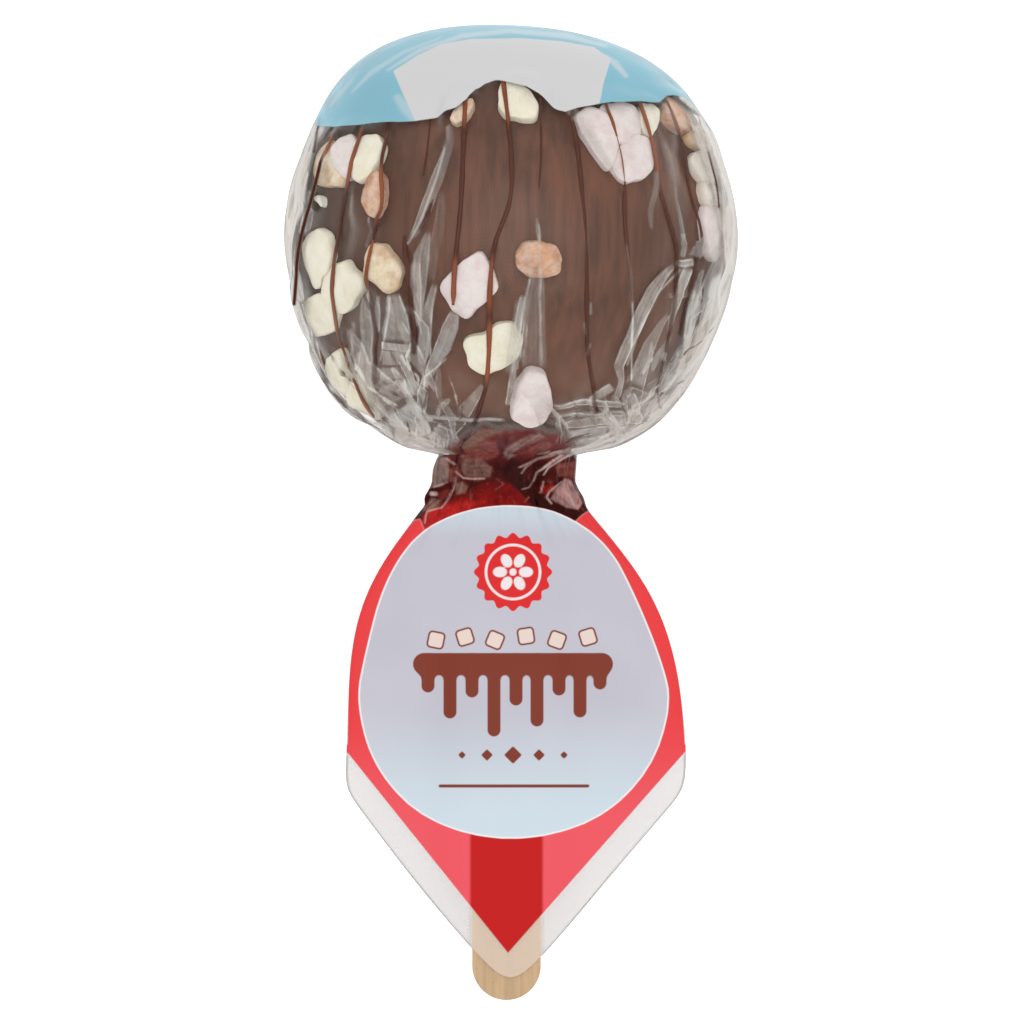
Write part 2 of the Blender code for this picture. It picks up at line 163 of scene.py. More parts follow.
# Marshmallows that show, each as its colour and its corners on the photograph.
SHOWN_MARSHMALLOWS = (
    ("tan_cream", ((313, 172), (318, 155), (325, 143), (335, 140), (340, 160), (347, 180), (338, 186),
                   (324, 187), (316, 182))),
    ("pink", ((330, 152), (335, 142), (343, 135), (352, 134), (359, 140), (359, 160), (354, 178),
              (346, 180), (338, 172), (332, 162))),
    ("cream", ((352, 142), (362, 134), (376, 134), (385, 141), (385, 152), (380, 164), (374, 173),
               (368, 179), (360, 183), (351, 182), (349, 172), (351, 156))),
    ("tan", ((361, 195), (364, 184), (370, 175), (378, 170), (384, 178), (386, 192), (384, 204), (380, 214),
             (374, 218), (368, 214), (363, 206))),
    # This small white piece stands where the film shows a glint: a painted highlight.
    ("white", ((314, 196), (322, 195), (324, 203), (320, 207), (316, 201))),
    ("cream", ((303, 238), (313, 231), (321, 228), (327, 232), (331, 245), (334, 257), (330, 270),
               (322, 278), (319, 287), (313, 289), (308, 280), (303, 265), (302, 250))),
    ("cream", ((303, 312), (305, 300), (318, 295), (330, 292), (340, 316), (338, 330), (332, 334),
               (322, 337), (312, 332), (306, 322))),
    ("cream", ((335, 262), (342, 261), (348, 260), (354, 268), (362, 277), (365, 284), (360, 298),
               (352, 310), (343, 314), (335, 311), (328, 306), (321, 295), (322, 280), (330, 270))),
    ("tan_cream", ((365, 255), (370, 246), (377, 243), (385, 245), (392, 254), (399, 261), (403, 267),
                   (401, 280), (397, 292), (390, 294), (382, 290), (375, 282), (365, 279), (363, 267))),
    ("pink", ((440, 283), (453, 274), (465, 260), (477, 252), (487, 260), (498, 284), (490, 299),
              (480, 306), (468, 319), (456, 313), (451, 303))),
    ("cream", ((463, 343), (468, 336), (482, 334), (492, 327), (503, 322), (515, 323), (522, 336),
               (523, 351), (514, 362), (502, 366), (487, 375), (472, 368), (466, 357))),
    ("tan", ((515, 260), (518, 244), (531, 240), (541, 240), (555, 244), (562, 255), (562, 268), (554, 276),
             (540, 278), (525, 275), (518, 269))),
    ("pink", ((510, 416), (513, 393), (520, 378), (528, 369), (538, 369), (548, 378), (553, 399),
              (550, 416), (538, 428), (520, 425))),
    ("cream", ((498, 84), (511, 80), (527, 88), (539, 101), (539, 115), (533, 121), (522, 118), (503, 117),
               (498, 105))),
    ("tan_cream", ((450, 119), (461, 106), (474, 98), (472, 112), (464, 122), (456, 125))),
    ("pink", ((574, 114), (586, 106), (601, 106), (615, 120), (620, 138), (614, 156), (611, 170),
              (600, 160), (588, 144), (579, 128))),
    ("pink", ((598, 108), (608, 102), (631, 101), (641, 112), (643, 128), (636, 140), (622, 146),
              (608, 134))),
    ("pink", ((610, 160), (616, 150), (626, 142), (636, 134), (648, 136), (655, 148), (656, 162),
              (650, 174), (640, 181), (628, 183), (618, 178))),
    ("cream", ((638, 108), (646, 103), (657, 106), (660, 116), (656, 128), (649, 137), (641, 128))),
    ("tan", ((661, 116), (663, 102), (670, 96), (681, 101), (689, 112), (693, 126), (686, 134), (676, 130),
             (667, 124))),
    ("tan_cream", ((685, 134), (692, 125), (701, 130), (708, 141), (713, 153), (704, 155), (696, 149),
                   (688, 143))),
    ("grey", ((689, 154), (700, 150), (712, 153), (717, 165), (717, 180), (708, 186), (700, 182),
              (693, 174), (689, 162))),
    ("grey", ((699, 184), (708, 181), (718, 188), (721, 202), (713, 209), (704, 206))),
    ("pink", ((700, 212), (708, 204), (716, 206), (722, 220), (725, 236), (722, 252), (716, 262),
              (710, 260), (704, 248), (701, 232))),
    ("cream", ((325, 363), (330, 354), (336, 350), (342, 358), (348, 375), (352, 390), (347, 396),
               (340, 388), (332, 376))),
    ("cream", ((352, 376), (358, 374), (366, 377), (372, 392), (375, 405), (382, 416), (376, 420),
               (366, 412), (356, 402), (347, 398), (346, 386))),
)

# Which of them stand out most, counted from 0, and how much higher they are.
TALL_MARSHMALLOWS = (24, 25)
TALL_SHARE = 1.8

# Drizzle strings on the photograph: each one's share of the full width, then its places from the crown down.
SHOWN_DRIZZLE = (
    (0.6, ((320, 118), (317, 128), (316, 140), (314, 152))),
    (0.9, ((352, 92), (337, 126), (330, 142), (321, 161), (316, 181), (311, 200), (305, 221), (300, 241),
           (297, 261), (296, 281), (294, 304))),
    (1.0, ((374, 92), (363, 127), (358, 141), (352, 160), (348, 180), (345, 195), (341, 218), (338, 238),
           (334, 262), (332, 285), (333, 303), (338, 334), (344, 352), (351, 372), (358, 390), (366, 406),
           (374, 417), (384, 427))),
    (0.9, ((394, 92), (389, 124), (386, 140), (382, 158), (381, 175), (382, 192), (381, 208), (376, 221),
           (373, 240))),
    (0.8, ((373, 240), (370, 252), (367, 266), (366, 282), (371, 296), (376, 312), (377, 332), (375, 350),
           (376, 366), (379, 380))),
    (0.4, ((431, 88), (430, 122), (427, 150), (423, 176))),
    (1.25, ((404, 236), (405, 250), (408, 268), (410, 290), (412, 312), (414, 332), (414, 352))),
    (1.0, ((467, 76), (465, 107), (461, 200), (455, 262), (453, 305))),
    (1.0, ((500, 60), (504, 87), (511, 150), (510, 200), (495, 244), (490, 289), (488, 368), (479, 410),
           (460, 458))),
    (0.45, ((544, 70), (541, 101), (541, 160), (536, 216))),
    (0.9, ((564, 80), (570, 113), (575, 132), (579, 160), (583, 200), (586, 240), (587, 301), (588, 351),
           (598, 411))),
    (0.7, ((600, 84), (607, 107), (612, 120), (617, 136))),
    (0.35, ((617, 136), (622, 158), (625, 182))),
    (0.9, ((625, 182), (625, 210), (626, 234), (629, 264), (632, 300))),
    (1.0, ((632, 86), (641, 106), (649, 130), (655, 156), (660, 188), (668, 216), (676, 244), (677, 267),
           (675, 300), (671, 326), (666, 351))),
    (0.55, ((666, 351), (661, 368), (657, 392), (660, 408))),
    (0.9, ((655, 80), (666, 99), (673, 115), (679, 132), (684, 150), (687, 170), (690, 190), (695, 208),
           (700, 225), (702, 242), (697, 262), (692, 285), (686, 308), (680, 334))),
    (0.5, ((697, 112), (703, 132), (707, 147), (712, 166), (717, 186), (719, 207))),
)

# Where the film stands in folds on the photograph: how much it hides, its tone, then (x, y, width) along it.
# A tone near 0 paints shade in a crease as a thin brown line.
FILM_FOLDS = (
    (0.62, 0.78, ((316, 128, 10), (307, 160, 18), (300, 200, 22), (294, 240, 16), (292, 275, 12),
                  (297, 310, 10))),
    (0.35, 0.90, ((310, 140, 4), (300, 172, 7), (294, 205, 8), (289, 240, 5))),
    (0.40, 0.25, ((304, 150, 1.6), (297, 176, 1.6), (292, 200, 2), (288, 222, 1.6))),
    (0.45, 0.15, ((292, 240, 1.6), (293, 258, 2), (296, 276, 2))),
    (0.30, 0.35, ((308, 180, 2), (305, 200, 4), (309, 222, 4))),
    (0.40, 0.62, ((293, 262, 8), (299, 310, 12), (314, 350, 12), (340, 392, 10))),
    (0.40, 0.68, ((313, 198, 4), (313, 210, 9), (312, 224, 10), (310, 238, 6))),
    (0.50, 0.80, ((325, 124, 6), (319, 140, 9), (314, 158, 9), (311, 176, 9), (309, 194, 8),
                  (307, 214, 6))),
    (0.30, 0.62, ((296, 270, 8), (306, 330, 8), (330, 385, 8))),
    (0.34, 0.62, ((455, 124, 4), (449, 146, 8), (437, 180, 12), (425, 212, 11), (411, 243, 4))),
    (0.55, 0.00, ((434, 198, 2), (427, 217, 6), (419, 232, 2))),
    (0.38, 0.68, ((430, 229, 4), (424, 256, 18), (421, 290, 13), (417, 330, 7))),
    (0.16, 0.50, ((443, 188, 5), (440, 230, 10), (433, 283, 8))),
    (0.45, 0.58, ((373, 284, 3), (369, 305, 9), (367, 330, 12), (366, 352, 10), (369, 370, 10),
                  (374, 390, 8))),
    (0.40, 0.55, ((383, 292, 3), (380, 310, 5), (378, 334, 3))),
    (0.24, 0.45, ((357, 318, 3), (353, 345, 6), (352, 366, 3))),
    (0.34, 0.60, ((360, 350, 3), (361, 362, 4), (360, 372, 2))),
    (0.48, 0.62, ((398, 290, 10), (397, 318, 22), (396, 342, 33))),
    (0.55, 0.70, ((397, 343, 33), (396, 351, 35))),
    (0.48, 0.58, ((396, 350, 35), (396, 366, 35))),
    (0.44, 0.52, ((396, 366, 34), (397, 379, 34))),
    (0.50, 0.02, ((380, 380, 1.4), (396, 381, 1.4), (404, 380, 1.2))),
    (0.44, 0.50, ((397, 381, 34), (400, 400, 32))),
    (0.55, 0.74, ((404, 404, 22), (410, 422, 34), (418, 440, 34))),
    (0.50, 0.72, ((400, 352, 2), (406, 368, 4), (412, 380, 14), (408, 396, 26))),
    (0.45, 0.85, ((391, 367, 2), (400, 380, 9), (406, 396, 3))),
    (0.45, 0.62, ((418, 258, 8), (418, 285, 11), (420, 315, 6), (421, 336, 3))),
    (0.48, 0.62, ((438, 280, 5), (431, 305, 9), (426, 330, 13), (423, 352, 12), (421, 366, 8))),
    (0.50, 0.66, ((458, 306, 6), (453, 324, 15), (445, 344, 16), (435, 362, 11), (428, 378, 6))),
    (0.55, 0.72, ((427, 370, 5), (423, 392, 9), (421, 418, 9), (424, 440, 14))),
    (0.60, 0.00, ((430, 380, 1.6), (426, 396, 2.4), (424, 410, 1.6))),
    (0.50, 0.62, ((390, 412, 14), (405, 438, 18))),
    (0.42, 0.62, ((484, 380, 2), (476, 395, 9), (462, 414, 14))),
    (0.45, 0.72, ((420, 416, 3), (455, 420, 4), (507, 419, 3))),
    (0.62, 0.05, ((424, 418, 2.4), (434, 421, 3.4), (443, 424, 3))),
    (0.60, 0.10, ((449, 426, 2), (460, 424, 2), (470, 422, 1.4))),
    (0.50, 0.60, ((432, 430, 16), (446, 440, 22), (458, 450, 18))),
    (0.40, 0.75, ((515, 350, 4), (513, 376, 7), (508, 404, 5))),
    (0.25, 0.60, ((520, 296, 8), (514, 340, 10), (508, 372, 6))),
    (0.26, 0.55, ((537, 262, 6), (537, 300, 16), (535, 340, 20), (533, 367, 24))),
    (0.30, 0.75, ((539, 216, 1.4), (538, 240, 2), (539, 280, 2.6), (540, 320, 2.4), (540, 366, 2))),
    (0.40, 0.75, ((531, 262, 2), (527, 300, 3), (524, 330, 4), (520, 360, 3))),
    (0.35, 0.72, ((523, 293, 5), (519, 320, 9), (516, 336, 5))),
    (0.35, 0.70, ((537, 217, 1), (537, 232, 4), (538, 243, 2))),
    (0.75, 0.88, ((674, 98, 3), (686, 105, 9), (700, 115, 10), (708, 124, 8))),
    (0.26, 0.66, ((656, 122, 1), (663, 150, 1), (671, 182, 1.6), (677, 206, 2.4), (682, 230, 3.6),
                  (685, 247, 3))),
    (0.30, 0.06, ((684, 127, 3), (689, 133, 7), (696, 130, 3))),
    (0.40, 0.04, ((694, 147, 3), (701, 150, 7), (708, 149, 4))),
    (0.22, 0.60, ((651, 172, 4), (652, 192, 6), (651, 212, 5), (652, 232, 1.6))),
    (0.34, 0.66, ((682, 232, 2), (684, 246, 4), (682, 258, 3))),
    (0.58, 0.72, ((675, 262, 3), (683, 264, 7), (692, 262, 7))),
    (0.50, 0.58, ((703, 233, 2), (697, 244, 8), (692, 257, 8))),
    (0.52, 0.66, ((677, 262, 4), (665, 275, 8), (653, 291, 11), (641, 314, 12), (634, 331, 11),
                  (626, 348, 9), (619, 366, 8), (621, 380, 5), (618, 394, 6), (612, 404, 6))),
    (0.58, 0.78, ((688, 266, 7), (682, 284, 8), (676, 304, 7), (671, 322, 5), (668, 336, 2))),
    (0.55, 0.66, ((695, 285, 3), (694, 302, 10), (691, 322, 10), (687, 342, 8), (682, 360, 7),
                  (676, 378, 6))),
    (0.35, 0.64, ((699, 268, 3), (697, 284, 4), (699, 300, 3))),
    (0.35, 0.60, ((716, 240, 8), (709, 288, 18), (697, 338, 22), (678, 378, 20))),
    (0.50, 0.68, ((714, 270, 8), (712, 300, 12), (705, 335, 14), (694, 362, 14), (682, 384, 12))),
    (0.50, 0.10, ((702, 284, 1.4), (699, 312, 2.0), (690, 340, 1.4))),
    (0.55, 0.55, ((330, 388, 8), (356, 410, 12), (380, 424, 15), (416, 441, 12), (448, 452, 8))),
    (0.40, 0.62, ((316, 190, 5), (309, 214, 9), (306, 236, 6))),
    (0.55, 0.76, ((300, 262, 4), (303, 284, 11), (303, 300, 13), (305, 318, 8))),
    (0.45, 0.64, ((669, 313, 2), (659, 327, 7), (649, 345, 12), (641, 366, 15), (633, 388, 16))),
    (0.55, 0.05, ((668, 338, 2.4), (664, 356, 2.4), (661, 374, 2))),
    (0.50, 0.10, ((629, 360, 1.4), (629, 372, 2), (630, 386, 1.4))),
    (0.62, 0.74, ((728, 250, 10), (724, 300, 16), (712, 345, 14), (696, 385, 8))),
    (0.72, 0.84, ((700, 106, 8), (715, 140, 18), (725, 180, 22), (729, 220, 22), (729, 270, 18),
                  (724, 322, 10))),
    (0.45, 0.82, ((684, 108, 10), (698, 130, 22), (711, 165, 22), (719, 200, 18), (722, 240, 10))),
    (0.35, 0.75, ((566, 108, 6), (577, 124, 9), (592, 148, 9), (606, 170, 6), (614, 180, 3))),
    (0.45, 0.42, ((624, 392, 14), (644, 404, 24), (660, 404, 26))),
    (0.45, 0.42, ((676, 372, 18), (668, 396, 22), (652, 418, 20))),
    (0.50, 0.72, ((628, 392, 6), (634, 406, 9), (638, 424, 8))),
    (0.60, 0.08, ((660, 378, 1.4), (658, 396, 1.8), (663, 414, 1.4))),
    (0.70, 0.02, ((632, 428, 1.4), (627, 436, 2.6), (621, 442, 2.6), (610, 445, 1.6))),
    (0.65, 0.06, ((641, 420, 1.6), (648, 427, 1.8))),
    (0.55, 0.25, ((698, 362, 1.6), (692, 376, 2.4), (688, 386, 1.6))),
    (0.45, 0.66, ((614, 386, 8), (600, 396, 8), (588, 404, 5))),
    (0.42, 0.65, ((552, 404, 3), (590, 402, 5), (625, 406, 5))),
    (0.60, 0.02, ((552, 409, 1.6), (576, 410, 1.6), (598, 412, 2))),
    (0.45, 0.58, ((548, 413, 3), (600, 416, 5), (640, 412, 6))),
    (0.60, 0.02, ((556, 420, 1.6), (580, 415, 2), (606, 419, 1.8))),
    (0.50, 0.60, ((560, 425, 6), (600, 421, 8), (645, 418, 8))),
    (0.45, 0.60, ((566, 434, 6), (600, 432, 10), (630, 428, 8))),
    (0.55, 0.05, ((566, 444, 2), (576, 438, 2.4), (592, 434, 1.6))),
    (0.50, 0.70, ((575, 446, 8), (596, 442, 10), (612, 436, 6))),
    (0.45, 0.60, ((700, 366, 8), (680, 398, 10), (652, 424, 10), (618, 440, 8), (580, 456, 8))),
)

# Painted highlights: bright thin lines on the film, as (x, y) on the photograph.
FILM_LINES = (
    (0.6, ((374, 219), (375, 232), (372, 246))),
    (0.5, ((447, 357), (436, 368), (425, 376), (424, 388))),
    (0.5, ((529, 278), (521, 320), (517, 364))),
    (0.7, ((627, 246), (630, 270), (633, 322), (631, 345), (631, 379))),
    (0.6, ((680, 270), (660, 292), (641, 326), (627, 364))),
    (0.5, ((553, 402), (590, 400), (622, 403))),
    (0.4, ((591, 304), (591, 314))),
    (0.4, ((585, 324), (586, 334))),
    (0.4, ((590, 345), (587, 354))),
    (0.5, ((410, 243), (423, 216), (436, 180), (450, 130))),
    (0.5, ((380, 360), (386, 330), (394, 296))),
)

# Where the film is crumpled: (x, y, width) on the photograph, how many creases, their lean and length.
CRUMPLED = (
    (((376, 300, 40), (396, 360, 50), (424, 420, 56)), 7, 0, 100),
    (((388, 370, 50), (410, 410, 60), (436, 440, 50)), 13, 8, 50),
    (((410, 412, 40), (440, 436, 40), (470, 440, 30)), 14, 35, 36),
    (((712, 290, 20), (684, 360, 44), (640, 400, 50)), 8, 0, 100),
    (((690, 360, 46), (650, 404, 60), (600, 434, 50)), 18, -8, 46),
    (((548, 408, 16), (600, 420, 30), (650, 414, 30)), 14, -50, 50),
    (((300, 280, 8), (312, 330, 12), (350, 388, 12), (394, 432, 12)), 9, 0, 50),
    (((728, 290, 8), (722, 330, 14), (700, 376, 18), (650, 428, 16)), 14, 0, 44),
)
GATHER_POINT = (505.0, 560.0)
HAZE = 0.12
CLEAR_TONE = 0.8
FOLD_RELIEF = 0.22 * MM
FILM_ROUGHNESS = 0.3
FILM_SHINE = 0.16
PRINT_SHINE = 0.05

# Where the contents press on the film, on the photograph: marshmallows left of the first x, and strings past
# the two others. A string smooths the folds over the first width, and shows through over the second, in px.
PRESSED_X = 410
LIMB_LEFT_X, LIMB_RIGHT_X = 320, 704
LIMB_FADE = 8
STRING_CLEARS = 4.6
STRING_SHOWS = 4.3

# One seed for each thing that is drawn at random.
FOLD_SEED, CRUMPLE_SEED, NECK_SEED, BACK_SEED = 8, 23, 19, 71
HIDDEN_SEED, BLOCK_SEED, DRIZZLE_SEED, STRING_SEED = 11, 100, 5, 40

# Where the tail's red ink runs up under the film into the gathers, on the photograph, and its patches there.
WINE = ((462, 436), (482, 424), (500, 432), (514, 424), (546, 430), (562, 428), (576, 442), (577, 458),
        (600, 462), (622, 520), (588, 511), (582, 515), (577, 520), (571, 525), (540, 516), (505, 511),
        (460, 518), (440, 524), (424, 530), (420, 519), (396, 521), (416, 462), (438, 457), (450, 446))
WINE_SOFT_ROWS = 466, 446
# The neck's tones: the deep reds are the red print under layers of ink and painted shade, the blackest
# one is painted shadow, the pale one paints highlights, and the others are folds of film.
NECK_TONES = {
    "wine": (70, 16, 13), "red": (132, 20, 18), "scarlet": (192, 40, 37), "shadow_black": (46, 13, 10),
    "brick": (112, 40, 34), "salmon": (136, 74, 64), "olive": (128, 100, 80), "tan": (138, 106, 93),
    "grey": (150, 130, 122), "blush": (190, 150, 147), "pale": (190, 166, 160),
}

# Folds in the neck, on the photograph, from the lowest up: a tone, how soft its edge is, then an outline of
# (x, y) corners or a strip of (x, y, width) places.
NECK_FOLDS = (
    ("brick", 5.0, ((470, 432), (500, 428), (560, 430), (574, 446), (560, 462), (520, 456), (470, 462),
                    (444, 470), (440, 456))),
    ("red", 4.0, ((430, 512), (448, 500), (466, 492), (484, 483), (500, 479), (514, 486), (524, 494),
                  (534, 509), (505, 512), (470, 514), (440, 524))),
    ("scarlet", 4.0, ((410, 534), (422, 514), (440, 506), (462, 500), (484, 502), (466, 512), (446, 520),
                      (424, 536))),
    ("shadow_black", 2.0, ((500, 470), (512, 459), (521, 463), (523, 474), (532, 486), (538, 497), (541, 513),
                    (530, 505), (522, 494), (512, 485), (503, 480))),
    ("shadow_black", 1.5, ((534, 489), (545, 499), (556, 503), (566, 508), (580, 511), (584, 514), (572, 526),
                    (556, 521), (534, 512))),
    ("shadow_black", 1.2, ((538, 471), (547, 467), (547, 476), (540, 481))),
    ("shadow_black", 1.2, ((410, 526), (422, 507), (425, 511), (420, 524))),
    ("shadow_black", 1.2, ((582, 503), (592, 511), (600, 524), (586, 513))),
    ("wine", 2.0, ((500, 438), (508, 436), (512, 448), (504, 456), (498, 450))),
    ("salmon", 2.0, ((460, 442), (480, 440), (497, 440), (501, 452), (493, 458), (486, 462), (468, 461),
                     (459, 458))),
    ("olive", 1.8, ((462, 448), (468, 436), (482, 428), (500, 431), (484, 441), (470, 450))),
    ("grey", 2.5, ((504, 456), (511, 446), (522, 440), (538, 433), (544, 437), (526, 446), (514, 456),
                   (508, 459))),
    ("salmon", 2.0, ((532, 449), (540, 443), (550, 442), (556, 448), (546, 453), (536, 454))),
    ("tan", 1.6, ((462, 462), (467, 458), (480, 459), (488, 464), (493, 468), (490, 477), (478, 481),
                  (466, 478), (462, 470))),
    ("grey", 1.4, ((430, 458), (446, 457), (450, 470), (448, 480), (441, 486), (428, 489))),
    ("salmon", 1.5, ((450, 470), (457, 463), (461, 474), (456, 484), (449, 481))),
    ("tan", 1.4, ((422, 509), (432, 498), (441, 500), (438, 507), (428, 512))),
    ("tan", 2.0, ((455, 484), (462, 482), (468, 486), (465, 493), (457, 495))),
    ("brick", 1.5, ((436, 494), (448, 488), (453, 495), (441, 500))),
    ("red", 1.5, ((541, 486), (551, 483), (557, 487), (549, 495), (542, 493))),
    ("salmon", 1.4, ((555, 465), (580, 460), (582, 478), (568, 479), (559, 476))),
    ("blush", 1.2, ((551, 498), (558, 487), (564, 479), (570, 480), (580, 494), (582, 503), (578, 509),
                    (566, 508), (556, 502))),
    ("shadow_black", 1.0, ((472, 430, 2.4), (464, 444, 3.2), (458, 456, 3.2), (456, 466, 2.0))),
    ("pale", 0.9, ((533, 481, 1.6), (537, 473, 1.8), (543, 469, 2.4), (552, 461, 2.8), (566, 453, 3.2),
                   (584, 446, 4.0))),
    ("pale", 0.9, ((544, 475, 1.0), (549, 467, 1.6), (562, 459, 2.2), (574, 453, 3.0))),
    ("grey", 0.9, ((520, 467, 2.0), (528, 463, 2.2), (538, 459, 2.6), (560, 452, 3.0))),
    ("grey", 0.9, ((522, 473, 1.4), (526, 467, 1.8), (534, 461, 2.0))),
    ("grey", 0.9, ((522, 489, 1.0), (529, 487, 1.4), (533, 481, 1.6))),
    ("blush", 0.9, ((541, 493, 1.4), (543, 482, 1.6))),
    ("pale", 0.9, ((551, 503, 1.6), (547, 497, 1.8), (550, 491, 1.4), (561, 482, 1.2))),
    ("pale", 0.9, ((574, 505, 2.0), (570, 494, 1.8), (567, 484, 1.0))),
    ("salmon", 0.9, ((579, 498, 1.2), (577, 504, 1.4))),
    ("blush", 0.9, ((455, 478, 1.4), (453, 490, 1.8), (449, 498, 1.6), (441, 508, 1.6))),
    ("pale", 0.9, ((446, 458, 1.8), (455, 465, 1.8))),
    ("pale", 0.9, ((434, 487, 1.6), (446, 482, 1.6))),
    ("blush", 0.9, ((456, 472, 1.4), (463, 478, 1.6), (484, 479, 1.6))),
    ("pale", 1.2, ((432, 494, 4.0), (436, 494, 4.0))),
    ("blush", 0.9, ((425, 523, 1.4), (427, 512, 1.6), (442, 507, 1.4))),
    ("scarlet", 0.9, ((436, 512, 1.8), (458, 505, 1.6))),
    ("salmon", 0.9, ((496, 478, 1.0), (503, 484, 1.2), (496, 489, 1.0))),
    ("salmon", 0.9, ((524, 502, 1.0), (529, 497, 1.4))),
)

# Painted shade inside the neck, on the photograph: how soft the edge is, then (x, y, width) places.
NECK_SHADE = ((9.0, ((524, 488, 26), (540, 500, 30), (572, 512, 22), (600, 520, 12))),
             (5.0, ((414, 524, 6), (432, 512, 12))))

# The print, on the photograph: the crown's lower edge, its bare panel, the tail's red and its pale panel.
CROWN_EDGE = ((300, 124), (318, 126), (339, 128.5), (366, 126.5), (393, 122.5), (415, 121), (440, 117.5),
              (458, 112), (470, 102), (476, 90), (485, 85.5), (496, 84), (505, 86.5), (526, 91.5),
              (538, 98.5), (550, 108), (565, 115), (574, 112), (594, 109), (609, 106.5), (636, 105.5),
              (654, 106.5), (663, 99), (669, 98), (680, 101), (690, 110), (700, 121), (708, 130))
CROWN_PANEL = ((393, 71), (418, 55), (442, 44), (470, 39), (520, 38), (560, 41), (594, 47), (611, 59),
               (603, 85), (594, 113), (590, 135), (424, 145), (415, 121), (404, 96))
# Painted highlights on the crown's print: how bright, then (x, y, width) along each.
CROWN_GLARE = (
    (0.75, ((388, 70, 2), (420, 50, 5), (462, 36, 5), (510, 31, 4), (566, 36, 5), (606, 46, 3))),
    (0.55, ((352, 92, 2), (372, 72, 5), (404, 52, 4), (440, 38, 2))),
    (0.85, ((606, 56, 3), (616, 64, 7), (626, 76, 4))),
    (0.60, ((398, 98, 8), (406, 108, 12), (414, 119, 8))),
    (0.15, ((620, 52, 3), (652, 68, 8), (680, 98, 5))),
    (0.12, ((668, 70, 2), (690, 92, 5), (702, 112, 3))),
    (0.40, ((330, 106, 2), (338, 96, 6), (352, 80, 3))),
)
TAIL_RED = ((300, 470), (720, 470), (720, 752), (685, 752), (508, 953), (347, 752), (300, 752))
TAIL_PANEL = ((510, 505), (560, 512), (608, 545), (636, 600), (660, 660), (671, 703), (650, 770),
              (596, 822), (511, 842), (428, 822), (376, 770), (357, 703), (366, 655), (384, 585),
              (416, 535), (460, 512))
TAIL_GREY_EDGE = 1.6

# Rows of the photograph between which the tail changes: the red turns lighter, a painted light from the floor
# shining through it, and deep over the stick, a painted shade where the stick stops that light, the panel
# turns blue at its foot and its head, the bare film and its hem begin, and the crushed folds end.
BACKLIGHT_ROWS = 700, 830
STICK_SHADE_ROWS = 800, 830
FOOT_ROWS = 690, 825
HEAD_ROWS = 542, 508
BARE_ROWS = 690, 740
HEM_ROWS = 740, 760
CRUSHED_ROWS = 514, 500
SIDE_RED_END = 745
FARTHEST = 40
STICK_PRINT = 6.1 * MM, 5.5 * MM

# The ornament on the pale panel, on the photograph: a scalloped seal over a dripping band.
SEAL_PLACE = (513.0, 572.0)
SEAL_RADIUS = 37.0
SEAL_SCALLOPS = 16
SEAL_WAVE = 2.2
SEAL_RING = 27.0
SEAL_MIDDLE = 3.6
PETALS = 6
PETAL_PLACE = 13.0
PETAL_HALF = 5.2
PETAL_STRETCH = 1.35
BAND_Y = 664.0
BAND_ENDS = (424.0, 602.0)
BAND_HALF = 11.0
DRIPS = ((428, 22), (450, 48), (472, 27), (494, 66), (516, 35), (537, 56), (559, 25), (580, 47), (600, 19))
DRIP_HALF = 6.5
DRIP_JOIN = 6.0
SQUARES = ((436, 640, 0.2), (465, 637, -0.3), (495, 640, 0.4), (526, 636, -0.15), (557, 640, 0.35),
           (588, 637, -0.3))
SQUARE_HALF = 7.0
SQUARE_ROUND = 2.5
SQUARE_LINE = 1.8
DIAMONDS = ((462, 755, 4), (487, 755, 6), (513, 755, 9), (539, 755, 6), (564, 755, 4))
RULE_Y = 786.0
RULE_ENDS = (440.0, 588.0)
RULE_HALF = 1.6

# The stage: its light makes white this much brighter than white, so that the floor shows next to no shadow.
LIGHT_LEVEL = 1.2
SKY_STRENGTH = 0.83
LAMP_PLACE = (0.03, 0.04, 0.82)
LAMP_SIZE = 0.7
LAMP_POWER = 3.2
FLOOR_HALF = 1.5
FILM_BOUNCES = 24


def seen(red, green, blue):
    """The albedo that shows as an 8-bit colour of the photograph under the stage's light."""
    share = np.array([red, green, blue]) / 255.0
    linear = np.where(share <= 0.04045, share / 12.92, ((share + 0.055) / 1.055) ** 2.4)
    return tuple(float(value) for value in linear / LIGHT_LEVEL)


def from_photo(places, height=AXIS_Z):
    """Photo places in px to metres on the level plane at height, as the long lens sees them."""
    across = (np.asarray(places, float) - PHOTO_MIDDLE) * (PX, -PX)
    return np.array(CAMERA_PLACE) + across * (1.0 - (height - AXIS_Z) / CAMERA_RISE)


def to_photo(points):
    """Where the camera sees points, in px of the photograph."""
    grow = 1.0 / (1.0 - (points[..., 2] - AXIS_Z) / CAMERA_RISE)
    across = (points[..., :2] - np.array(CAMERA_PLACE)) * grow[..., None] / (PX, -PX)
    return across + PHOTO_MIDDLE


def smooth_step(low, high, value):
    """0 at low, 1 at high, an S-curve between."""
    t = np.clip((np.asarray(value, float) - low) / (high - low), 0.0, 1.0)
    return t * t * (3.0 - 2.0 * t)


def soft_min(a, b, width):
    """The lesser of two lengths, the corner between them rounded."""
    low = np.minimum(a, b)
    return low - width * np.log(np.exp((low - a) / width) + np.exp((low - b) / width))


# ---------------------------------------------------------------- round forms

def form_reach(form, y):
    """How far y lies from a form's middle, as a share of the way to its end."""
    return np.clip(np.abs(y - form.middle_y) / np.where(y > form.middle_y, form.up, form.down), 0.0, 1.0)


def form_share(form, y):
    """A form's radius at y as a share of its greatest: a superellipse whose power grows towards the ends."""
    t = form_reach(form, y)
    squarer = np.where(y > form.middle_y, form.crown_squarer, form.base_squarer)
    power = PROFILE_POWER + squarer * smooth_step(SQUARER_FROM, SQUARER_TO, t)
    return np.maximum(0.0, 1.0 - t ** power) ** (1.0 / power)


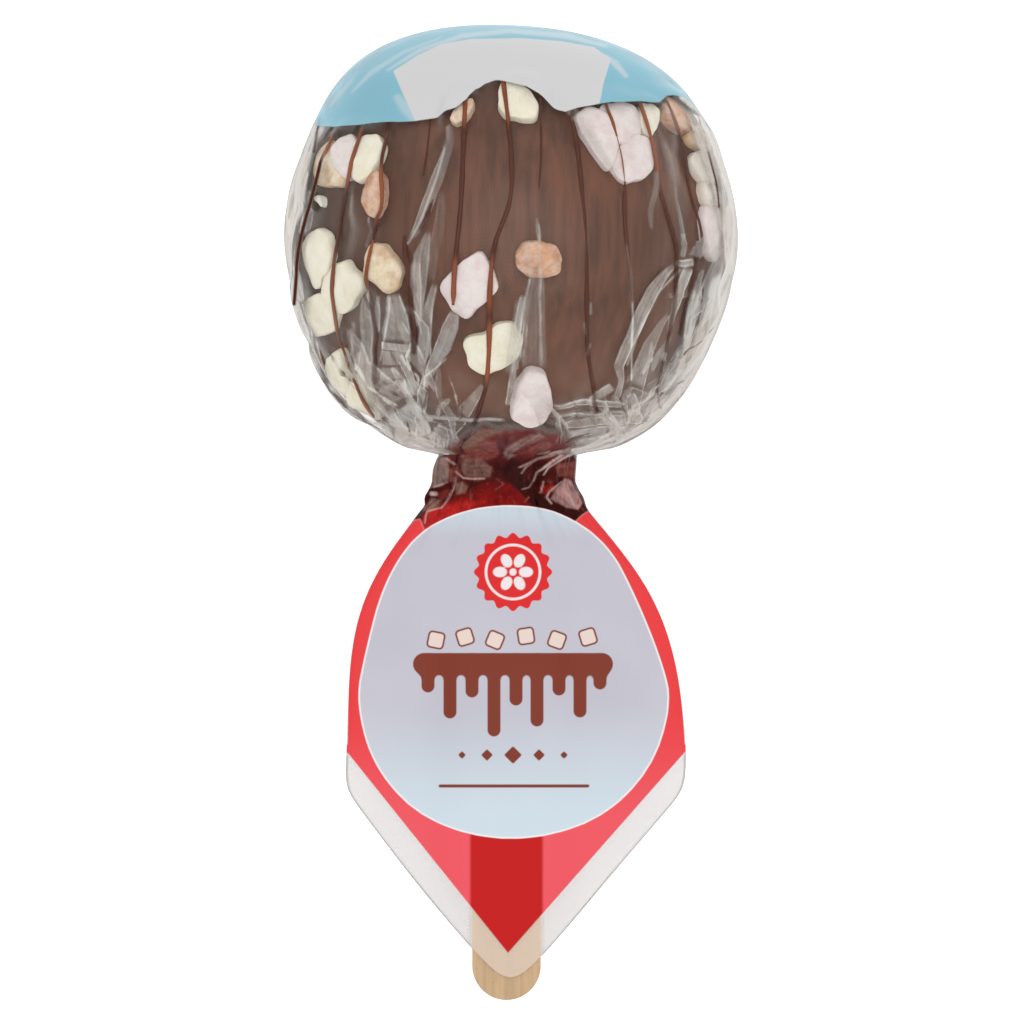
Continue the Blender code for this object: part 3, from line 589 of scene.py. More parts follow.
def form_point(form, azimuth, y, out=0.0):
    """Points of a round form: azimuth from the shown side towards +X, y along it, moved out by a length."""
    share = form_share(form, y)
    x = form.half_width * share * np.sin(azimuth)
    lean = CROWN_TILT * smooth_step(SQUARER_FROM, 1.0, form_reach(form, y)) * (y > form.middle_y)
    point = np.stack([x, y - lean * x, AXIS_Z + form.half_depth * share * np.cos(azimuth)], axis=-1)
    if np.any(out):
        point = point + form_normal(form, azimuth, y) * np.asarray(out)[..., None]
    return point


def form_normal(form, azimuth, y):
    """Outward normals of a round form, from the cross product of its two directions."""
    around, along = form_directions(form, azimuth, y)
    normal = np.cross(around, along)
    return normal / np.linalg.norm(normal, axis=-1, keepdims=True)


def form_directions(form, azimuth, y):
    """Unit directions round a form and along it, by small steps."""
    turn, step = 0.002, 0.05 * MM
    around = form_point(form, azimuth + turn, y) - form_point(form, azimuth - turn, y)
    along = form_point(form, azimuth, y + step) - form_point(form, azimuth, y - step)
    along = along + np.array([0.0, 1e-9, 0.0])
    return (around / np.linalg.norm(around, axis=-1, keepdims=True),
            along / np.linalg.norm(along, axis=-1, keepdims=True))


def shown_place(form, places, out=0.0):
    """Azimuth and y on a form's shown half that the camera sees at photo places, by short corrections."""
    places = np.asarray(places, float)
    ends = form.middle_y - SEARCH_REACH * form.down, form.middle_y + SEARCH_REACH * form.up
    x, y = from_photo(places, AXIS_Z + 0.7 * form.half_depth).T
    y = np.clip(y, *ends)
    azimuth = np.arcsin(np.clip(x / (form.half_width * np.maximum(form_share(form, y), 0.05)), -0.95, 0.95))
    for _ in range(SEARCH_STEPS):
        miss = (places - to_photo(form_point(form, azimuth, y, out))) * (PX, -PX)
        reach = form.half_width * np.maximum(form_share(form, y), 0.1) * np.maximum(np.cos(azimuth), 0.3)
        azimuth = np.clip(azimuth + SEARCH_SHARE * miss[:, 0] / reach, -SEARCH_TURN, SEARCH_TURN)
        y = np.clip(y + SEARCH_SHARE * miss[:, 1], *ends)
    return azimuth, y


# --------------------------------------------------------------- mesh helpers

def new_object(name, points, faces, values, material, slot=None, instead_of="film_bag"):
    """A smooth mesh with values on its points; with a slot it rides on the part, for one of its nodes."""
    mesh = bpy.data.meshes.new(name)
    points = np.ascontiguousarray(points, np.float32)
    faces = np.ascontiguousarray(faces, np.int32)
    mesh.vertices.add(len(points))
    mesh.vertices.foreach_set("co", points.ravel())
    mesh.loops.add(faces.size)
    mesh.loops.foreach_set("vertex_index", faces.ravel())
    mesh.polygons.add(len(faces))
    mesh.polygons.foreach_set("loop_start", np.arange(0, faces.size, faces.shape[1], dtype=np.int32))
    mesh.update(calc_edges=True)
    mesh.validate()
    mesh.shade_smooth()
    for key, numbers in values.items():
        kind, part = ("FLOAT_COLOR", "color") if np.size(numbers) == 4 * len(points) else ("FLOAT", "value")
        layer = mesh.attributes.new(key, kind, "POINT")
        layer.data.foreach_set(part, np.ascontiguousarray(numbers, np.float32).ravel())
    obj = bpy.data.objects.new(name, mesh)
    bpy.context.scene.collection.objects.link(obj)
    mesh.materials.append(material)
    if slot:
        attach(obj, "root")
        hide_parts(instead_of)
    return obj


def grid_faces(rows, columns, closed=False):
    """Quads of a grid whose points run row by row; closed joins each row's ends."""
    across = columns if closed else columns - 1
    i, j = np.meshgrid(np.arange(rows - 1), np.arange(across), indexing="ij")
    k = (j + 1) % columns
    low, high = i * columns, (i + 1) * columns
    return np.stack([low + j, low + k, high + k, high + j], axis=-1).reshape(-1, 4)


def capped_tube(points, first=True):
    """Triangles of a tube whose last ring, and first ring if asked, is shut by a point at its middle."""
    rows, columns = points.shape[:2]
    flat = points.reshape(-1, 3)
    quads = grid_faces(rows, columns, closed=True)
    faces = [quads[:, [0, 1, 2]], quads[:, [0, 2, 3]]]
    ring = np.arange(columns)
    following = (ring + 1) % columns
    ends = []
    if first:
        faces.append(np.stack([np.full(columns, len(flat)), following, ring], axis=1))
        ends.append(points[0].mean(0))
    last_ring = (rows - 1) * columns
    last = len(flat) + len(ends)
    faces.append(np.stack([np.full(columns, last), last_ring + ring, last_ring + following], axis=1))
    ends.append(points[-1].mean(0))
    return np.concatenate([flat, ends]), np.concatenate(faces)


def joined(parts):
    """Several (points, faces, values) as one, with the faces renumbered."""
    points, faces, values, start = [], [], [], 0
    for part_points, part_faces, part_values in parts:
        points.append(part_points)
        faces.append(part_faces + start)
        values.append(part_values)
        start += len(part_points)
    return np.concatenate(points), np.concatenate(faces), np.concatenate(values)


def smooth_line(corners, spacing):
    """Points a set distance apart on the Catmull-Rom curve through the corners."""
    corners = np.asarray(corners, float)
    padded = np.concatenate([[2 * corners[0] - corners[1]], corners, [2 * corners[-1] - corners[-2]]])
    t = np.linspace(0.0, 1.0, 24, endpoint=False)[:, None]
    runs = []
    for a, b, c, d in zip(padded, padded[1:], padded[2:], padded[3:]):
        runs.append(0.5 * (2 * b + (c - a) * t + (2 * a - 5 * b + 4 * c - d) * t ** 2
                           + (3 * b - a - 3 * c + d) * t ** 3))
    line = np.concatenate(runs + [corners[-1:]])
    length = np.concatenate([[0.0], np.cumsum(np.linalg.norm(np.diff(line, axis=0), axis=1))])
    places = np.linspace(0.0, length[-1], max(3, int(length[-1] / spacing)))
    return np.stack([np.interp(places, length, line[:, k]) for k in range(line.shape[1])], axis=1)


def rounded_loop(corners, count):
    """A closed outline with its corners cut twice over, as count even points."""
    loop = np.asarray(corners, float)
    for _ in range(2):
        following = np.roll(loop, -1, axis=0)
        cuts = [loop * 0.75 + following * 0.25, loop * 0.25 + following * 0.75]
        loop = np.stack(cuts, axis=1).reshape(-1, 2)
    closed = np.concatenate([loop, loop[:1]])
    length = np.concatenate([[0.0], np.cumsum(np.linalg.norm(np.diff(closed, axis=0), axis=1))])
    places = np.linspace(0.0, length[-1], count, endpoint=False)
    return np.stack([np.interp(places, length, closed[:, k]) for k in range(2)], axis=1)


# ---------------------------------------------------------- node tree helpers

def feed(tree, sockets, inputs):
    """Link or set a node's inputs."""
    for key, value in inputs.items():
        if isinstance(value, bpy.types.NodeSocket):
            tree.links.new(value, sockets[key])
        else:
            sockets[key].default_value = value


def node(tree, kind, inputs=None, out=0, **settings):
    """Add a node, set its properties, feed its inputs and return one of its outputs."""
    made = tree.nodes.new(kind)
    for key, value in settings.items():
        setattr(made, key, value)
    feed(tree, made.inputs, inputs or {})
    return made.outputs[out]


def calc(tree, operation, *values, clamp=False):
    """One Math node."""
    return node(tree, "ShaderNodeMath", dict(enumerate(values)), operation=operation, use_clamp=clamp)


def times(tree, a, b):
    """A product."""
    return calc(tree, "MULTIPLY", a, b)


def plus(tree, a, b, clamp=False):
    """A sum, held to 1 at most where clamp is on."""
    return calc(tree, "ADD", a, b, clamp=clamp)


def larger(tree, a, b):
    """The larger of two values."""
    return calc(tree, "MAXIMUM", a, b)


def in_shares(tree, a, b, share):
    """Two values added in shares: share of a, the rest of b."""
    return plus(tree, times(tree, a, share), times(tree, b, 1.0 - share))


def mix_colour(tree, share, a, b, how="MIX"):
    """One colour Mix node: a where share is 0, b where it is 1."""
    a, b = (c if isinstance(c, bpy.types.NodeSocket) else (*c, 1.0) for c in (a, b))
    return node(tree, "ShaderNodeMix", {0: share, 6: a, 7: b}, out=2, data_type="RGBA", blend_type=how)


def shaded(colour, *shares):
    """A colour made darker or lighter: each channel by its share, or all by the one that is given."""
    return tuple(c * share for c, share in zip(colour, shares * 3))


def spread(tree, value, low, high, to_low=0.0, to_high=1.0):
    """Map a range smoothly onto another."""
    return node(tree, "ShaderNodeMapRange", {0: value, 1: low, 2: high, 3: to_low, 4: to_high},
                interpolation_type="SMOOTHSTEP")


def point_value(tree, name):
    """A value that the mesh's points carry."""
    return node(tree, "ShaderNodeAttribute", out=2, attribute_name=name)


def place(tree, scale=(1.0, 1.0, 1.0)):
    """Object coordinates, stretched."""
    where = node(tree, "ShaderNodeTexCoord", out=3)
    return node(tree, "ShaderNodeMapping", {"Vector": where, "Scale": scale})


def noise(tree, where, scale, detail=3.0, rough=0.55, distort=0.0):
    """Noise of a size, from 0 to 1."""
    return node(tree, "ShaderNodeTexNoise", {"Vector": where, "Scale": scale, "Detail": detail,
                                             "Roughness": rough, "Distortion": distort})


def bump(tree, height, strength, distance):
    """A Bump node's normal."""
    return node(tree, "ShaderNodeBump", {"Height": height, "Strength": strength, "Distance": distance})


def finish(name, settings):
    """A new material: its node tree and its Principled shader with plain values set."""
    mat = bpy.data.materials.new(name)
    mat.use_nodes = True
    shader = mat.node_tree.nodes["Principled BSDF"]
    feed(mat.node_tree, shader.inputs, settings)
    return mat, mat.node_tree, shader


def group(name, inputs, outputs):
    """A new shader group with named sockets; returns the tree, its inputs and its outputs."""
    tree = bpy.data.node_groups.new(name, "ShaderNodeTree")
    kinds = {"Colour": "Color", "Stretch": "Vector"}
    for direction, sockets in (("INPUT", inputs), ("OUTPUT", outputs)):
        for key in sockets:
            kind = "NodeSocket" + kinds.get(key, "Float")
            tree.interface.new_socket(key, in_out=direction, socket_type=kind)
    return tree, tree.nodes.new("NodeGroupInput").outputs, tree.nodes.new("NodeGroupOutput").inputs


def use_group(tree, made, inputs):
    """Place a group and return its outputs."""
    used = tree.nodes.new("ShaderNodeGroup")
    used.node_tree = made
    feed(tree, used.inputs, inputs)
    return used.outputs


def powder_group():
    """Fine soft grain for marshmallow, chocolate and wood: a tone from 0 to 1 and a bump height."""
    made = bpy.data.node_groups.get("fine grain")
    if made:
        return made
    made, inside, out = group("fine grain", ("Scale", "Stretch"), ("Tone", "Height"))
    where = node(made, "ShaderNodeTexCoord", out=3)
    stretched = node(made, "ShaderNodeVectorMath", {0: where, 1: inside["Stretch"]}, operation="MULTIPLY")
    broad = noise(made, stretched, inside["Scale"], 4.0, 0.6)
    fine = noise(made, stretched, times(made, inside["Scale"], 7.0), 3.0, 0.6)
    feed(made, out, {"Tone": spread(made, broad, 0.3, 0.7), "Height": in_shares(made, broad, fine, 0.7)})
    return made


def film_group():
    """Clear film: its colour and how much it hides, from veil, tone and glint values on the mesh."""
    made = bpy.data.node_groups.get("clear film")
    if made:
        return made
    made, inside, out = group("clear film", ("Veil", "Tone", "Glint", "Least"), ("Colour", "Hides", "Height"))
    ripple = noise(made, place(made, (1.0, 0.35, 1.0)), 430.0, 4.0, 0.62, 0.5)
    veil = times(made, inside["Veil"], spread(made, ripple, 0.3, 0.7, 0.66, 1.3))
    hides = plus(made, plus(made, inside["Least"], veil), inside["Glint"], clamp=True)
    # Tones near 0 paint shade as thin deep brown lines in the creases; glint paints highlights in near white.
    warm = mix_colour(made, inside["Tone"], seen(78, 44, 34), seen(224, 218, 208))
    cool = mix_colour(made, inside["Tone"], seen(76, 58, 52), seen(204, 214, 216))
    coolness = spread(made, noise(made, place(made), 95.0, 2.0, 0.5), 0.42, 0.62, 0.0, 0.4)
    glint = calc(made, "MULTIPLY", inside["Glint"], 1.4, clamp=True)
    colour = mix_colour(made, glint, mix_colour(made, coolness, warm, cool), seen(238, 235, 231))
    feed(made, out, {"Colour": colour, "Hides": hides, "Height": ripple})
    return made


# ------------------------------------------------------------------ the film

def along_strip(places, strip):
    """Where places lie beside a line whose width is set at each corner.

    Gives the signed distance from the line, half the width there and the share of the way along it.
    """
    corners = np.array(strip, float)
    runs = np.hypot(*np.diff(corners[:, :2], axis=0).T)
    marks = np.concatenate([[0.0], np.cumsum(runs)]) / runs.sum()
    best = np.full(places.shape[:-1], 1e9)
    half, share, side = np.ones((3, *places.shape[:-1]))
    for a, b, start, end in zip(corners, corners[1:], marks, marks[1:]):
        run = b[:2] - a[:2]
        offset = places - a[:2]
        t = np.clip((offset @ run) / (run @ run), 0.0, 1.0)
        away = np.hypot(offset[..., 0] - t * run[0], offset[..., 1] - t * run[1])
        width = (a[2] + (b[2] - a[2]) * t) / 2
        nearer = away - width < best - half
        best = np.where(nearer, away, best)
        half = np.where(nearer, width, half)
        share = np.where(nearer, start + (end - start) * t, share)
        side = np.where(nearer, np.sign(offset[..., 1] * run[0] - offset[..., 0] * run[1]), side)
    return best * side, half, share


def strip_mask(places, strip, soft):
    """1 inside a strip, 0 outside, softened over a width in px."""
    away, half, _ = along_strip(places, strip)
    return 1.0 - smooth_step(-soft, soft, np.abs(away) - half)


def wobble(values, draw, size=64):
    """Smooth seeded noise along one number, from 0 to 1, with one draw for each whole number."""
    table = draw.uniform(0, 1, size)
    whole = np.floor(values).astype(int)
    part = values - whole
    part = part * part * (3 - 2 * part)
    return table[whole % size] * (1 - part) + table[(whole + 1) % size] * part


def outline_distance(places, outline):
    """Signed distance in px to a closed outline: positive inside it."""
    loop = np.asarray(outline, float)
    best = np.full(places.shape[:-1], 1e9)
    inside = np.zeros(places.shape[:-1], bool)
    for a, b in zip(loop, np.roll(loop, -1, axis=0)):
        run = b - a
        t = np.clip(((places - a) @ run) / max(run @ run, 1e-9), 0.0, 1.0)
        best = np.minimum(best, np.linalg.norm(places - a - t[..., None] * run, axis=-1))
        spans = (a[1] > places[..., 1]) != (b[1] > places[..., 1])
        cross = a[0] + (places[..., 1] - a[1]) * run[0] / (run[1] if run[1] else 1e-9)
        inside ^= spans & (places[..., 0] < cross)
    return np.where(inside, best, -best)


def near_places(places, corners, margin):
    """Which places lie in the box round some corners, with a margin in px."""
    low, high = corners.min(0) - margin, corners.max(0) + margin
    return np.flatnonzero(((places > low) & (places < high)).all(axis=1))


def shards():
    """Seeded creases in the crumpled parts: flat facets and thin lines, along the pull of the neck."""
    draw = np.random.default_rng(CRUMPLE_SEED)
    rows = []
    for strip, count, lean, length in CRUMPLED:
        corners = np.array(strip, float)
        runs = np.hypot(*np.diff(corners[:, :2], axis=0).T)
        marks = np.concatenate([[0.0], np.cumsum(runs)])
        for _ in range(count):
            spot = [np.interp(draw.uniform(0, marks[-1]), marks, corners[:, k]) for k in range(3)]
            middle = np.array(spot[:2]) + draw.uniform(-0.5, 0.5, 2) * spot[2]
            pull = np.array(GATHER_POINT) - middle
            angle = math.atan2(pull[1], pull[0]) + math.radians(lean) + draw.normal(0, 10.0 / length)
            half = draw.uniform(0.5, 1.0) * length / 2 * np.array([math.cos(angle), math.sin(angle)])
            aside = draw.normal(0, 0.10) * length / 2 * np.array([-math.sin(angle), math.cos(angle)])
            kind = draw.uniform()
            # Pale facets, thin lines of painted crease shade, and thin bright lines of painted highlight.
            if kind < 0.62:
                width, tone, hides = draw.uniform(0.05, 0.18) * length + 1.0, draw.uniform(0.4, 0.75), 0.34
            elif kind < 0.86:
                width, tone, hides = draw.uniform(1.2, 2.2), 0.0, 0.62
            else:
                width, tone, hides = draw.uniform(1.2, 2.0), 0.95, 0.6
            hides *= draw.uniform(0.5, 1.3)
            rows.append((hides, tone, ((*(middle - half), width * 0.3), (*(middle + aside), width),
                                       (*(middle + half), width * draw.uniform(0.2, 0.7)))))
    return tuple(rows)


def fold_share(spots, soft, corners, draw):
    """How much a fold in the neck covers at each place: streaked along its length where it is an outline."""
    outline = np.array(corners, float)
    if outline.shape[1] > 2:
        return strip_mask(spots, corners, soft)
    offset = spots - outline.mean(0)
    axes = np.linalg.svd(outline - outline.mean(0))[2]
    streaks = wobble(offset @ axes[1] / 1.5 + offset @ axes[0] / 14.0 + 90.0, draw, 97)
    return smooth_step(-soft, soft, outline_distance(spots, corners)) * (0.5 + 0.5 * streaks)


def neck_tones(places, where):
    """The colour of the film crushed into the neck at each place: its folds laid over wine red, in turn."""
    colours = np.ones((len(places), 4))
    spots = places[where]
    draw = np.random.default_rng(NECK_SEED)
    ripple = np.stack([np.sin(spots[:, 1] / 3.7), np.sin(spots[:, 0] / 4.3 + 2)], axis=1)
    painted = np.tile(seen(*NECK_TONES["wine"]), (len(spots), 1))
    for tone, soft, corners in NECK_FOLDS:
        share = fold_share(spots + 0.4 * ripple, soft, corners, draw)
        painted += (np.array(seen(*NECK_TONES[tone])) - painted) * 0.95 * share[:, None]
    colours[where, :3] = painted
    return colours


def string_mask(places, corners, width, soft):
    """The places near a string, and how far each of them is inside its width in px."""
    line = smooth_line(corners, 12.0)
    here = near_places(places, line, 6)
    strip = np.concatenate([line, np.full((len(line), 1), width)], axis=1)
    return here, strip_mask(places[here], strip, soft)


def folded(places, draw):
    """What folds do to the film: how clear it stays, its tone times a weight, the weight, lines, relief."""
    clear = np.ones(len(places))
    weight = np.full(len(places), 1e-3)
    toned = CLEAR_TONE * weight
    lines = np.zeros(len(places))
    relief = np.zeros(len(places))
    for hides, tone, strip in FILM_FOLDS + shards():
        corners = np.array(strip, float)
        here = near_places(places, corners[:, :2], 14)
        bright_side = draw.choice((-1.0, 1.0))
        ragged_draw, streak_draw = draw.spawn(2)
        if not len(here):
            continue
        away, half, share = along_strip(places[here], strip)
        ends = smooth_step(0.0, 0.10, share) * smooth_step(1.0, 0.90, share)
        ragged = 1.2 * (wobble(share * 9, ragged_draw) - 0.5)
        inside = (1.0 - smooth_step(-0.7, 0.7, np.abs(away) - half + ragged)) * ends
        streaks = 0.66 + 0.55 * wobble(away / 1.9 + 40 + 1.5 * share, streak_draw)
        mask = np.clip(inside * streaks, 0, 1)
        # A painted highlight runs along one edge of each fold, faintly along the other.
        edge = np.exp(-((np.abs(away) - half) / 0.8) ** 2) * np.where(away * bright_side > 0, 0.6, 0.08)
        bright = edge * ends * hides * (tone > 0.3) * (half > 1.2)
        clear[here] *= 1.0 - hides * mask
        toned[here] = toned[here] * (1 - mask) + tone * hides * mask
        weight[here] = weight[here] * (1 - mask) + hides * mask
        lines[here] = np.maximum(lines[here] * (1 - 0.5 * mask), bright)
        relief[here] += FOLD_RELIEF * inside * (0.3 + 0.7 * np.clip(away * bright_side / half, -1, 1))
    for bright, line in FILM_LINES:
        strip = tuple((x, y, 1.6) for x, y in line)
        lines = np.maximum(lines, bright * 0.75 * strip_mask(places, strip, 1.5))
    return clear, toned, weight, lines, relief


def touched(places):
    """How far strings and marshmallows press on the film at each place and smooth its folds away."""
    touch = np.zeros(len(places))
    for width, corners in SHOWN_DRIZZLE:
        here, mask = string_mask(places, corners, STRING_CLEARS * width, 1.6)
        touch[here] = np.maximum(touch[here], width * mask)
    for _, corners in SHOWN_MARSHMALLOWS:
        if np.max(corners, axis=0)[0] < PRESSED_X:
            here = near_places(places, np.array(corners), 4)
            inside = smooth_step(-1.5, 1.5, outline_distance(places[here], corners))
            touch[here] = np.maximum(touch[here], 0.7 * inside)
    return np.minimum(touch, 1.0)


def film_fields(points):
    """What the film shows at each point, and its relief in metres.

    Veil, tone, glint, wine and touch run from 0 to 1; crush is the colour of the film in the neck.
    """
    shape = points.shape[:-1]
    places = to_photo(points).reshape(-1, 2)
    draw = np.random.default_rng(FOLD_SEED)
    clear, toned, weight, lines, relief = folded(places, draw)
    haze = HAZE * np.maximum.reduce([strip_mask(places, strip, 16.0) for strip, *_ in CRUMPLED])
    clear *= 1.0 - haze
    toned += 0.5 * haze
    weight += haze
    soft = 1.2 + 6.0 * smooth_step(*WINE_SOFT_ROWS, places[:, 1])
    ragged = soft * (wobble(places[:, 0] / 9.0, draw) - 0.5)
    wine = smooth_step(-soft, soft, outline_distance(places, WINE) + ragged)
    touch = touched(places) * (points[..., 2].ravel() > AXIS_Z)
    clear = 1.0 - (1.0 - clear) * (1.0 - 0.8 * touch)
    lines *= 1.0 - 0.8 * touch
    fields = {"veil": 1.0 - clear, "tone": toned / weight, "glint": lines, "wine": wine, "touch": touch,
              "crush": neck_tones(places, wine > 0)}
    fields = {key: values.reshape(shape + values.shape[1:]) for key, values in fields.items()}
    return fields, relief.reshape(shape)


def gather_wave(angle):
    """An uneven wave round the bag, for the film's gathers."""
    waves = ((9, 0.55, 0.4), (13, 0.45, 2.1), (17, 0.3, 4.0), (31, 0.22, 1.3), (47, 0.14, 0.2))
    return sum(share * np.cos(count * angle + phase) for count, share, phase in waves)


def gather_depth(y):
    """Depth of the gathers at y as a share of the radius: deepest in the neck."""
    on_base = 0.035 * smooth_step(26 * MM, NECK_Y, y)
    in_neck = 0.075 * smooth_step(NECK_Y + 3 * MM, NECK_Y - 3 * MM, y)
    return (on_base + in_neck) * smooth_step(PLEAT_END_Y, PLEAT_END_Y + 12 * MM, y)


def stretched_over(azimuth, y, rows):
    """How far the marshmallows hold the film off its round form: tents that fall away round each."""
    here = form_point(APPLE_FORM, azimuth, y)
    gap = np.linalg.norm(form_point(FILM_FORM, azimuth, y) - here, axis=-1)
    lift = np.zeros(np.shape(azimuth))
    for row in rows:
        offset = here - form_point(APPLE_FORM, row.azimuth, row.y)
        near = np.linalg.norm(offset, axis=-1) < 14 * MM
        if not near.any():
            continue
        around, along = form_directions(APPLE_FORM, row.azimuth, row.y)
        u = (offset @ around) / (np.ptp(row.outline[:, 0]) / 2)
        v = (offset @ along) / (np.ptp(row.outline[:, 1]) / 2)
        reach = (np.abs(u) ** 2.6 + np.abs(v) ** 2.6) ** (1 / 2.6)
        tent = np.maximum(0.0, row.height + 0.35 * MM - gap) * (1.0 - smooth_step(0.95, 2.1, reach))
        lift += np.where(near, tent, 0.0) ** 4
    return lift ** 0.25


def bulb_film(azimuth, y, rows):
    """The film round the apple at a grid of places, its fields, and its folds raised along its normals."""
    plain = form_point(FILM_FORM, azimuth, y)
    fields, relief = film_fields(plain)
    ragged = math.pi / 2 - 0.03 + 0.03 * np.sin(y / (2.1 * MM)) * np.sin(y / (5.3 * MM) + 1.0)
    shown = smooth_step(ragged, ragged - 0.2, np.abs(azimuth))
    for key in ("veil", "tone", "glint", "wine", "touch"):
        fields[key] = fields[key] * shown
    gathers = gather_depth(y) * gather_wave(math.pi / 2 - azimuth)
    lift = stretched_over(azimuth, y, rows)
    slack = FILM_SLACK * (np.sin(11 * azimuth + y / (4 * MM)) + np.sin(23 * azimuth - y / (3 * MM)))
    away_from_neck = smooth_step(NECK_Y, NECK_Y + 2 * MM, y)
    slack = slack * smooth_step(66 * MM, 40 * MM, y)
    relief = relief * smooth_step(*RELIEF_FADES, np.abs(azimuth))
    points = form_point(FILM_FORM, azimuth, y, lift + (relief + slack) * away_from_neck)
    middle = np.array([0.0, 0.0, AXIS_Z])
    radial = (points - middle) * (1.0, 0.0, 1.0)
    points = points + radial * gathers[..., None]
    corner = smooth_step(NECK_Y + 1.3 * MM, NECK_Y, y)
    bottom_width = FILM_FORM.half_width * form_share(FILM_FORM, np.full(1, NECK_Y))[0]
    points[..., 0] *= 1.0 - (1.0 - NECK_HALF_WIDTH / bottom_width) * corner
    points[..., 0] += middle_x(y)
    points[..., 2] = np.maximum(points[..., 2], REST_CLEAR)
    fields["string"] = pressed_strings(points)
    return points, fields


def middle_x(y):
    """The middle of the bag at y: it sways from the apple to the neck, the tail and the V."""
    at_neck = smooth_step(NECK_Y + NECK_SHIFT, NECK_Y - NECK_SHIFT, y)
    at_tail = smooth_step(FLARE_START_Y, FLARE_START_Y - TAIL_SHIFT, y)
    return NECK_X * at_neck + (TAIL_X - NECK_X) * at_tail + (V_X - TAIL_X) * smooth_step(*V_SHIFT_Y, y)


def tail_half_width(y):
    """Half the tail's width: an easing flare cut off by a V, a hyperbola at its round tip."""
    run = np.maximum(0.0, FLARE_START_Y - y) / FLARE_LENGTH
    flare = NECK_HALF_WIDTH + (TAIL_HALF_WIDTH - NECK_HALF_WIDTH) * (1.0 - np.exp(-run ** FLARE_POWER))
    vee = V_SLOPE * (y - V_POINT_Y)
    tip = V_SLOPE * (TIP_Y - V_POINT_Y)
    return soft_min(flare, np.sqrt(np.maximum(0.0, vee ** 2 - tip ** 2)), V_CORNER)


def tail_point(share, side, y):
    """Points of the neck and tail: share runs from 0 at -X to 1 at +X, side is 1 in front and -1 behind."""
    flatness = smooth_step(2 * MM, -16 * MM, y)
    straight = smooth_step(7 * MM, -10 * MM, y)
    across = (2 * share - 1) * straight - np.cos(math.pi * share) * (1 - straight)
    up = np.sqrt(np.maximum(0.0, 1 - across ** 2))
    angle = np.arctan2(side * up, across)
    spine = STICK_THICK / 2 + STICK_COVER
    bottom = FILM_FORM.half_depth * form_share(FILM_FORM, np.full(1, NECK_Y))[0]
    half_depth = spine + (bottom - spine) * np.exp(-(NECK_Y - y) / NECK_DEPTH_FALL)
    gathers = 1.0 + gather_depth(y) * gather_wave(angle)
    x = middle_x(y) + tail_half_width(y) * across * (1 + (gathers - 1) * smooth_step(0, 3 * MM, y))
    on_stick = smooth_step(14 * MM, 5.0 * MM, np.abs(x - STICK_X))
    thick = TAIL_THICK + (spine - TAIL_THICK) * on_stick
    flat = thick * side * np.minimum(1.0, up / 0.28)
    broad = np.sin(x / (7 * MM) + 1) * np.sin(y / (9 * MM))
    sway = TAIL_SWAY * (broad + 0.5 * np.sin(x / (3.4 * MM) + y / (6 * MM)))
    z = AXIS_Z + (half_depth * side * up * gathers * (1.0 - flatness)
                  + (flat + sway * (1 - on_stick)) * flatness)
    return np.stack([x, y + 0 * x, z], axis=-1)


def ornament(places):
    """The generic print of the pale panel, as signed distances in px: positive inside each shape."""
    p = places - SEAL_PLACE
    radius = np.hypot(p[:, 0], p[:, 1])
    turn = np.arctan2(p[:, 1], p[:, 0])
    seal = SEAL_RADIUS + SEAL_WAVE * np.cos(SEAL_SCALLOPS * turn) - radius
    ring = 1.3 - np.abs(radius - SEAL_RING)
    petal_turn = (turn + math.pi / PETALS) % (2 * math.pi / PETALS) - math.pi / PETALS
    u, v = radius * np.cos(petal_turn) - PETAL_PLACE, radius * np.sin(petal_turn)
    petals = PETAL_HALF - np.hypot(u / PETAL_STRETCH, v)
    light = np.maximum.reduce([ring, petals, SEAL_MIDDLE - radius])

    def capsule(ax, ay, bx, by, half):
        """Signed distance to a bar with round ends: negative inside it."""
        away, _, _ = along_strip(places, ((ax, ay, 2 * half), (bx, by, 2 * half)))
        return np.abs(away) - half

    band = capsule(BAND_ENDS[0], BAND_Y, BAND_ENDS[1], BAND_Y, BAND_HALF)
    for x, drop in DRIPS:
        drip = capsule(x, BAND_Y, x, BAND_Y + drop, DRIP_HALF)
        share = np.clip(0.5 + 0.5 * (drip - band) / DRIP_JOIN, 0.0, 1.0)
        band = drip * (1 - share) + band * share - DRIP_JOIN * share * (1 - share)
    brown = -band
    squares = np.full(len(places), -99.0)
    for x, y, tilt in SQUARES:
        dx, dy = places[:, 0] - x, places[:, 1] - y
        c, s = math.cos(tilt), math.sin(tilt)
        a, b = (np.abs(d) - SQUARE_HALF + SQUARE_ROUND for d in (dx * c + dy * s, dy * c - dx * s))
        away = np.hypot(np.maximum(a, 0), np.maximum(b, 0)) + np.minimum(np.maximum(a, b), 0) - SQUARE_ROUND
        squares = np.maximum(squares, -away)
    brown = np.maximum(brown, squares + SQUARE_LINE)
    for x, y, size in DIAMONDS:
        brown = np.maximum(brown, (size - np.abs(places[:, 0] - x) - np.abs(places[:, 1] - y)) / 1.4)
    brown = np.maximum(brown, -capsule(RULE_ENDS[0], RULE_Y, RULE_ENDS[1], RULE_Y, RULE_HALF))
    return seal, light, brown, squares


def ink(tree, name, soft=0.7):
    """A print's share from its signed distance, with a crisp edge."""
    return spread(tree, point_value(tree, name), -soft, soft)


def fold_cover(tree, share):
    """How much the folds and lines cover, from a share of the veil."""
    return plus(tree, times(tree, point_value(tree, "veil"), share), point_value(tree, "glint"), clamp=True)


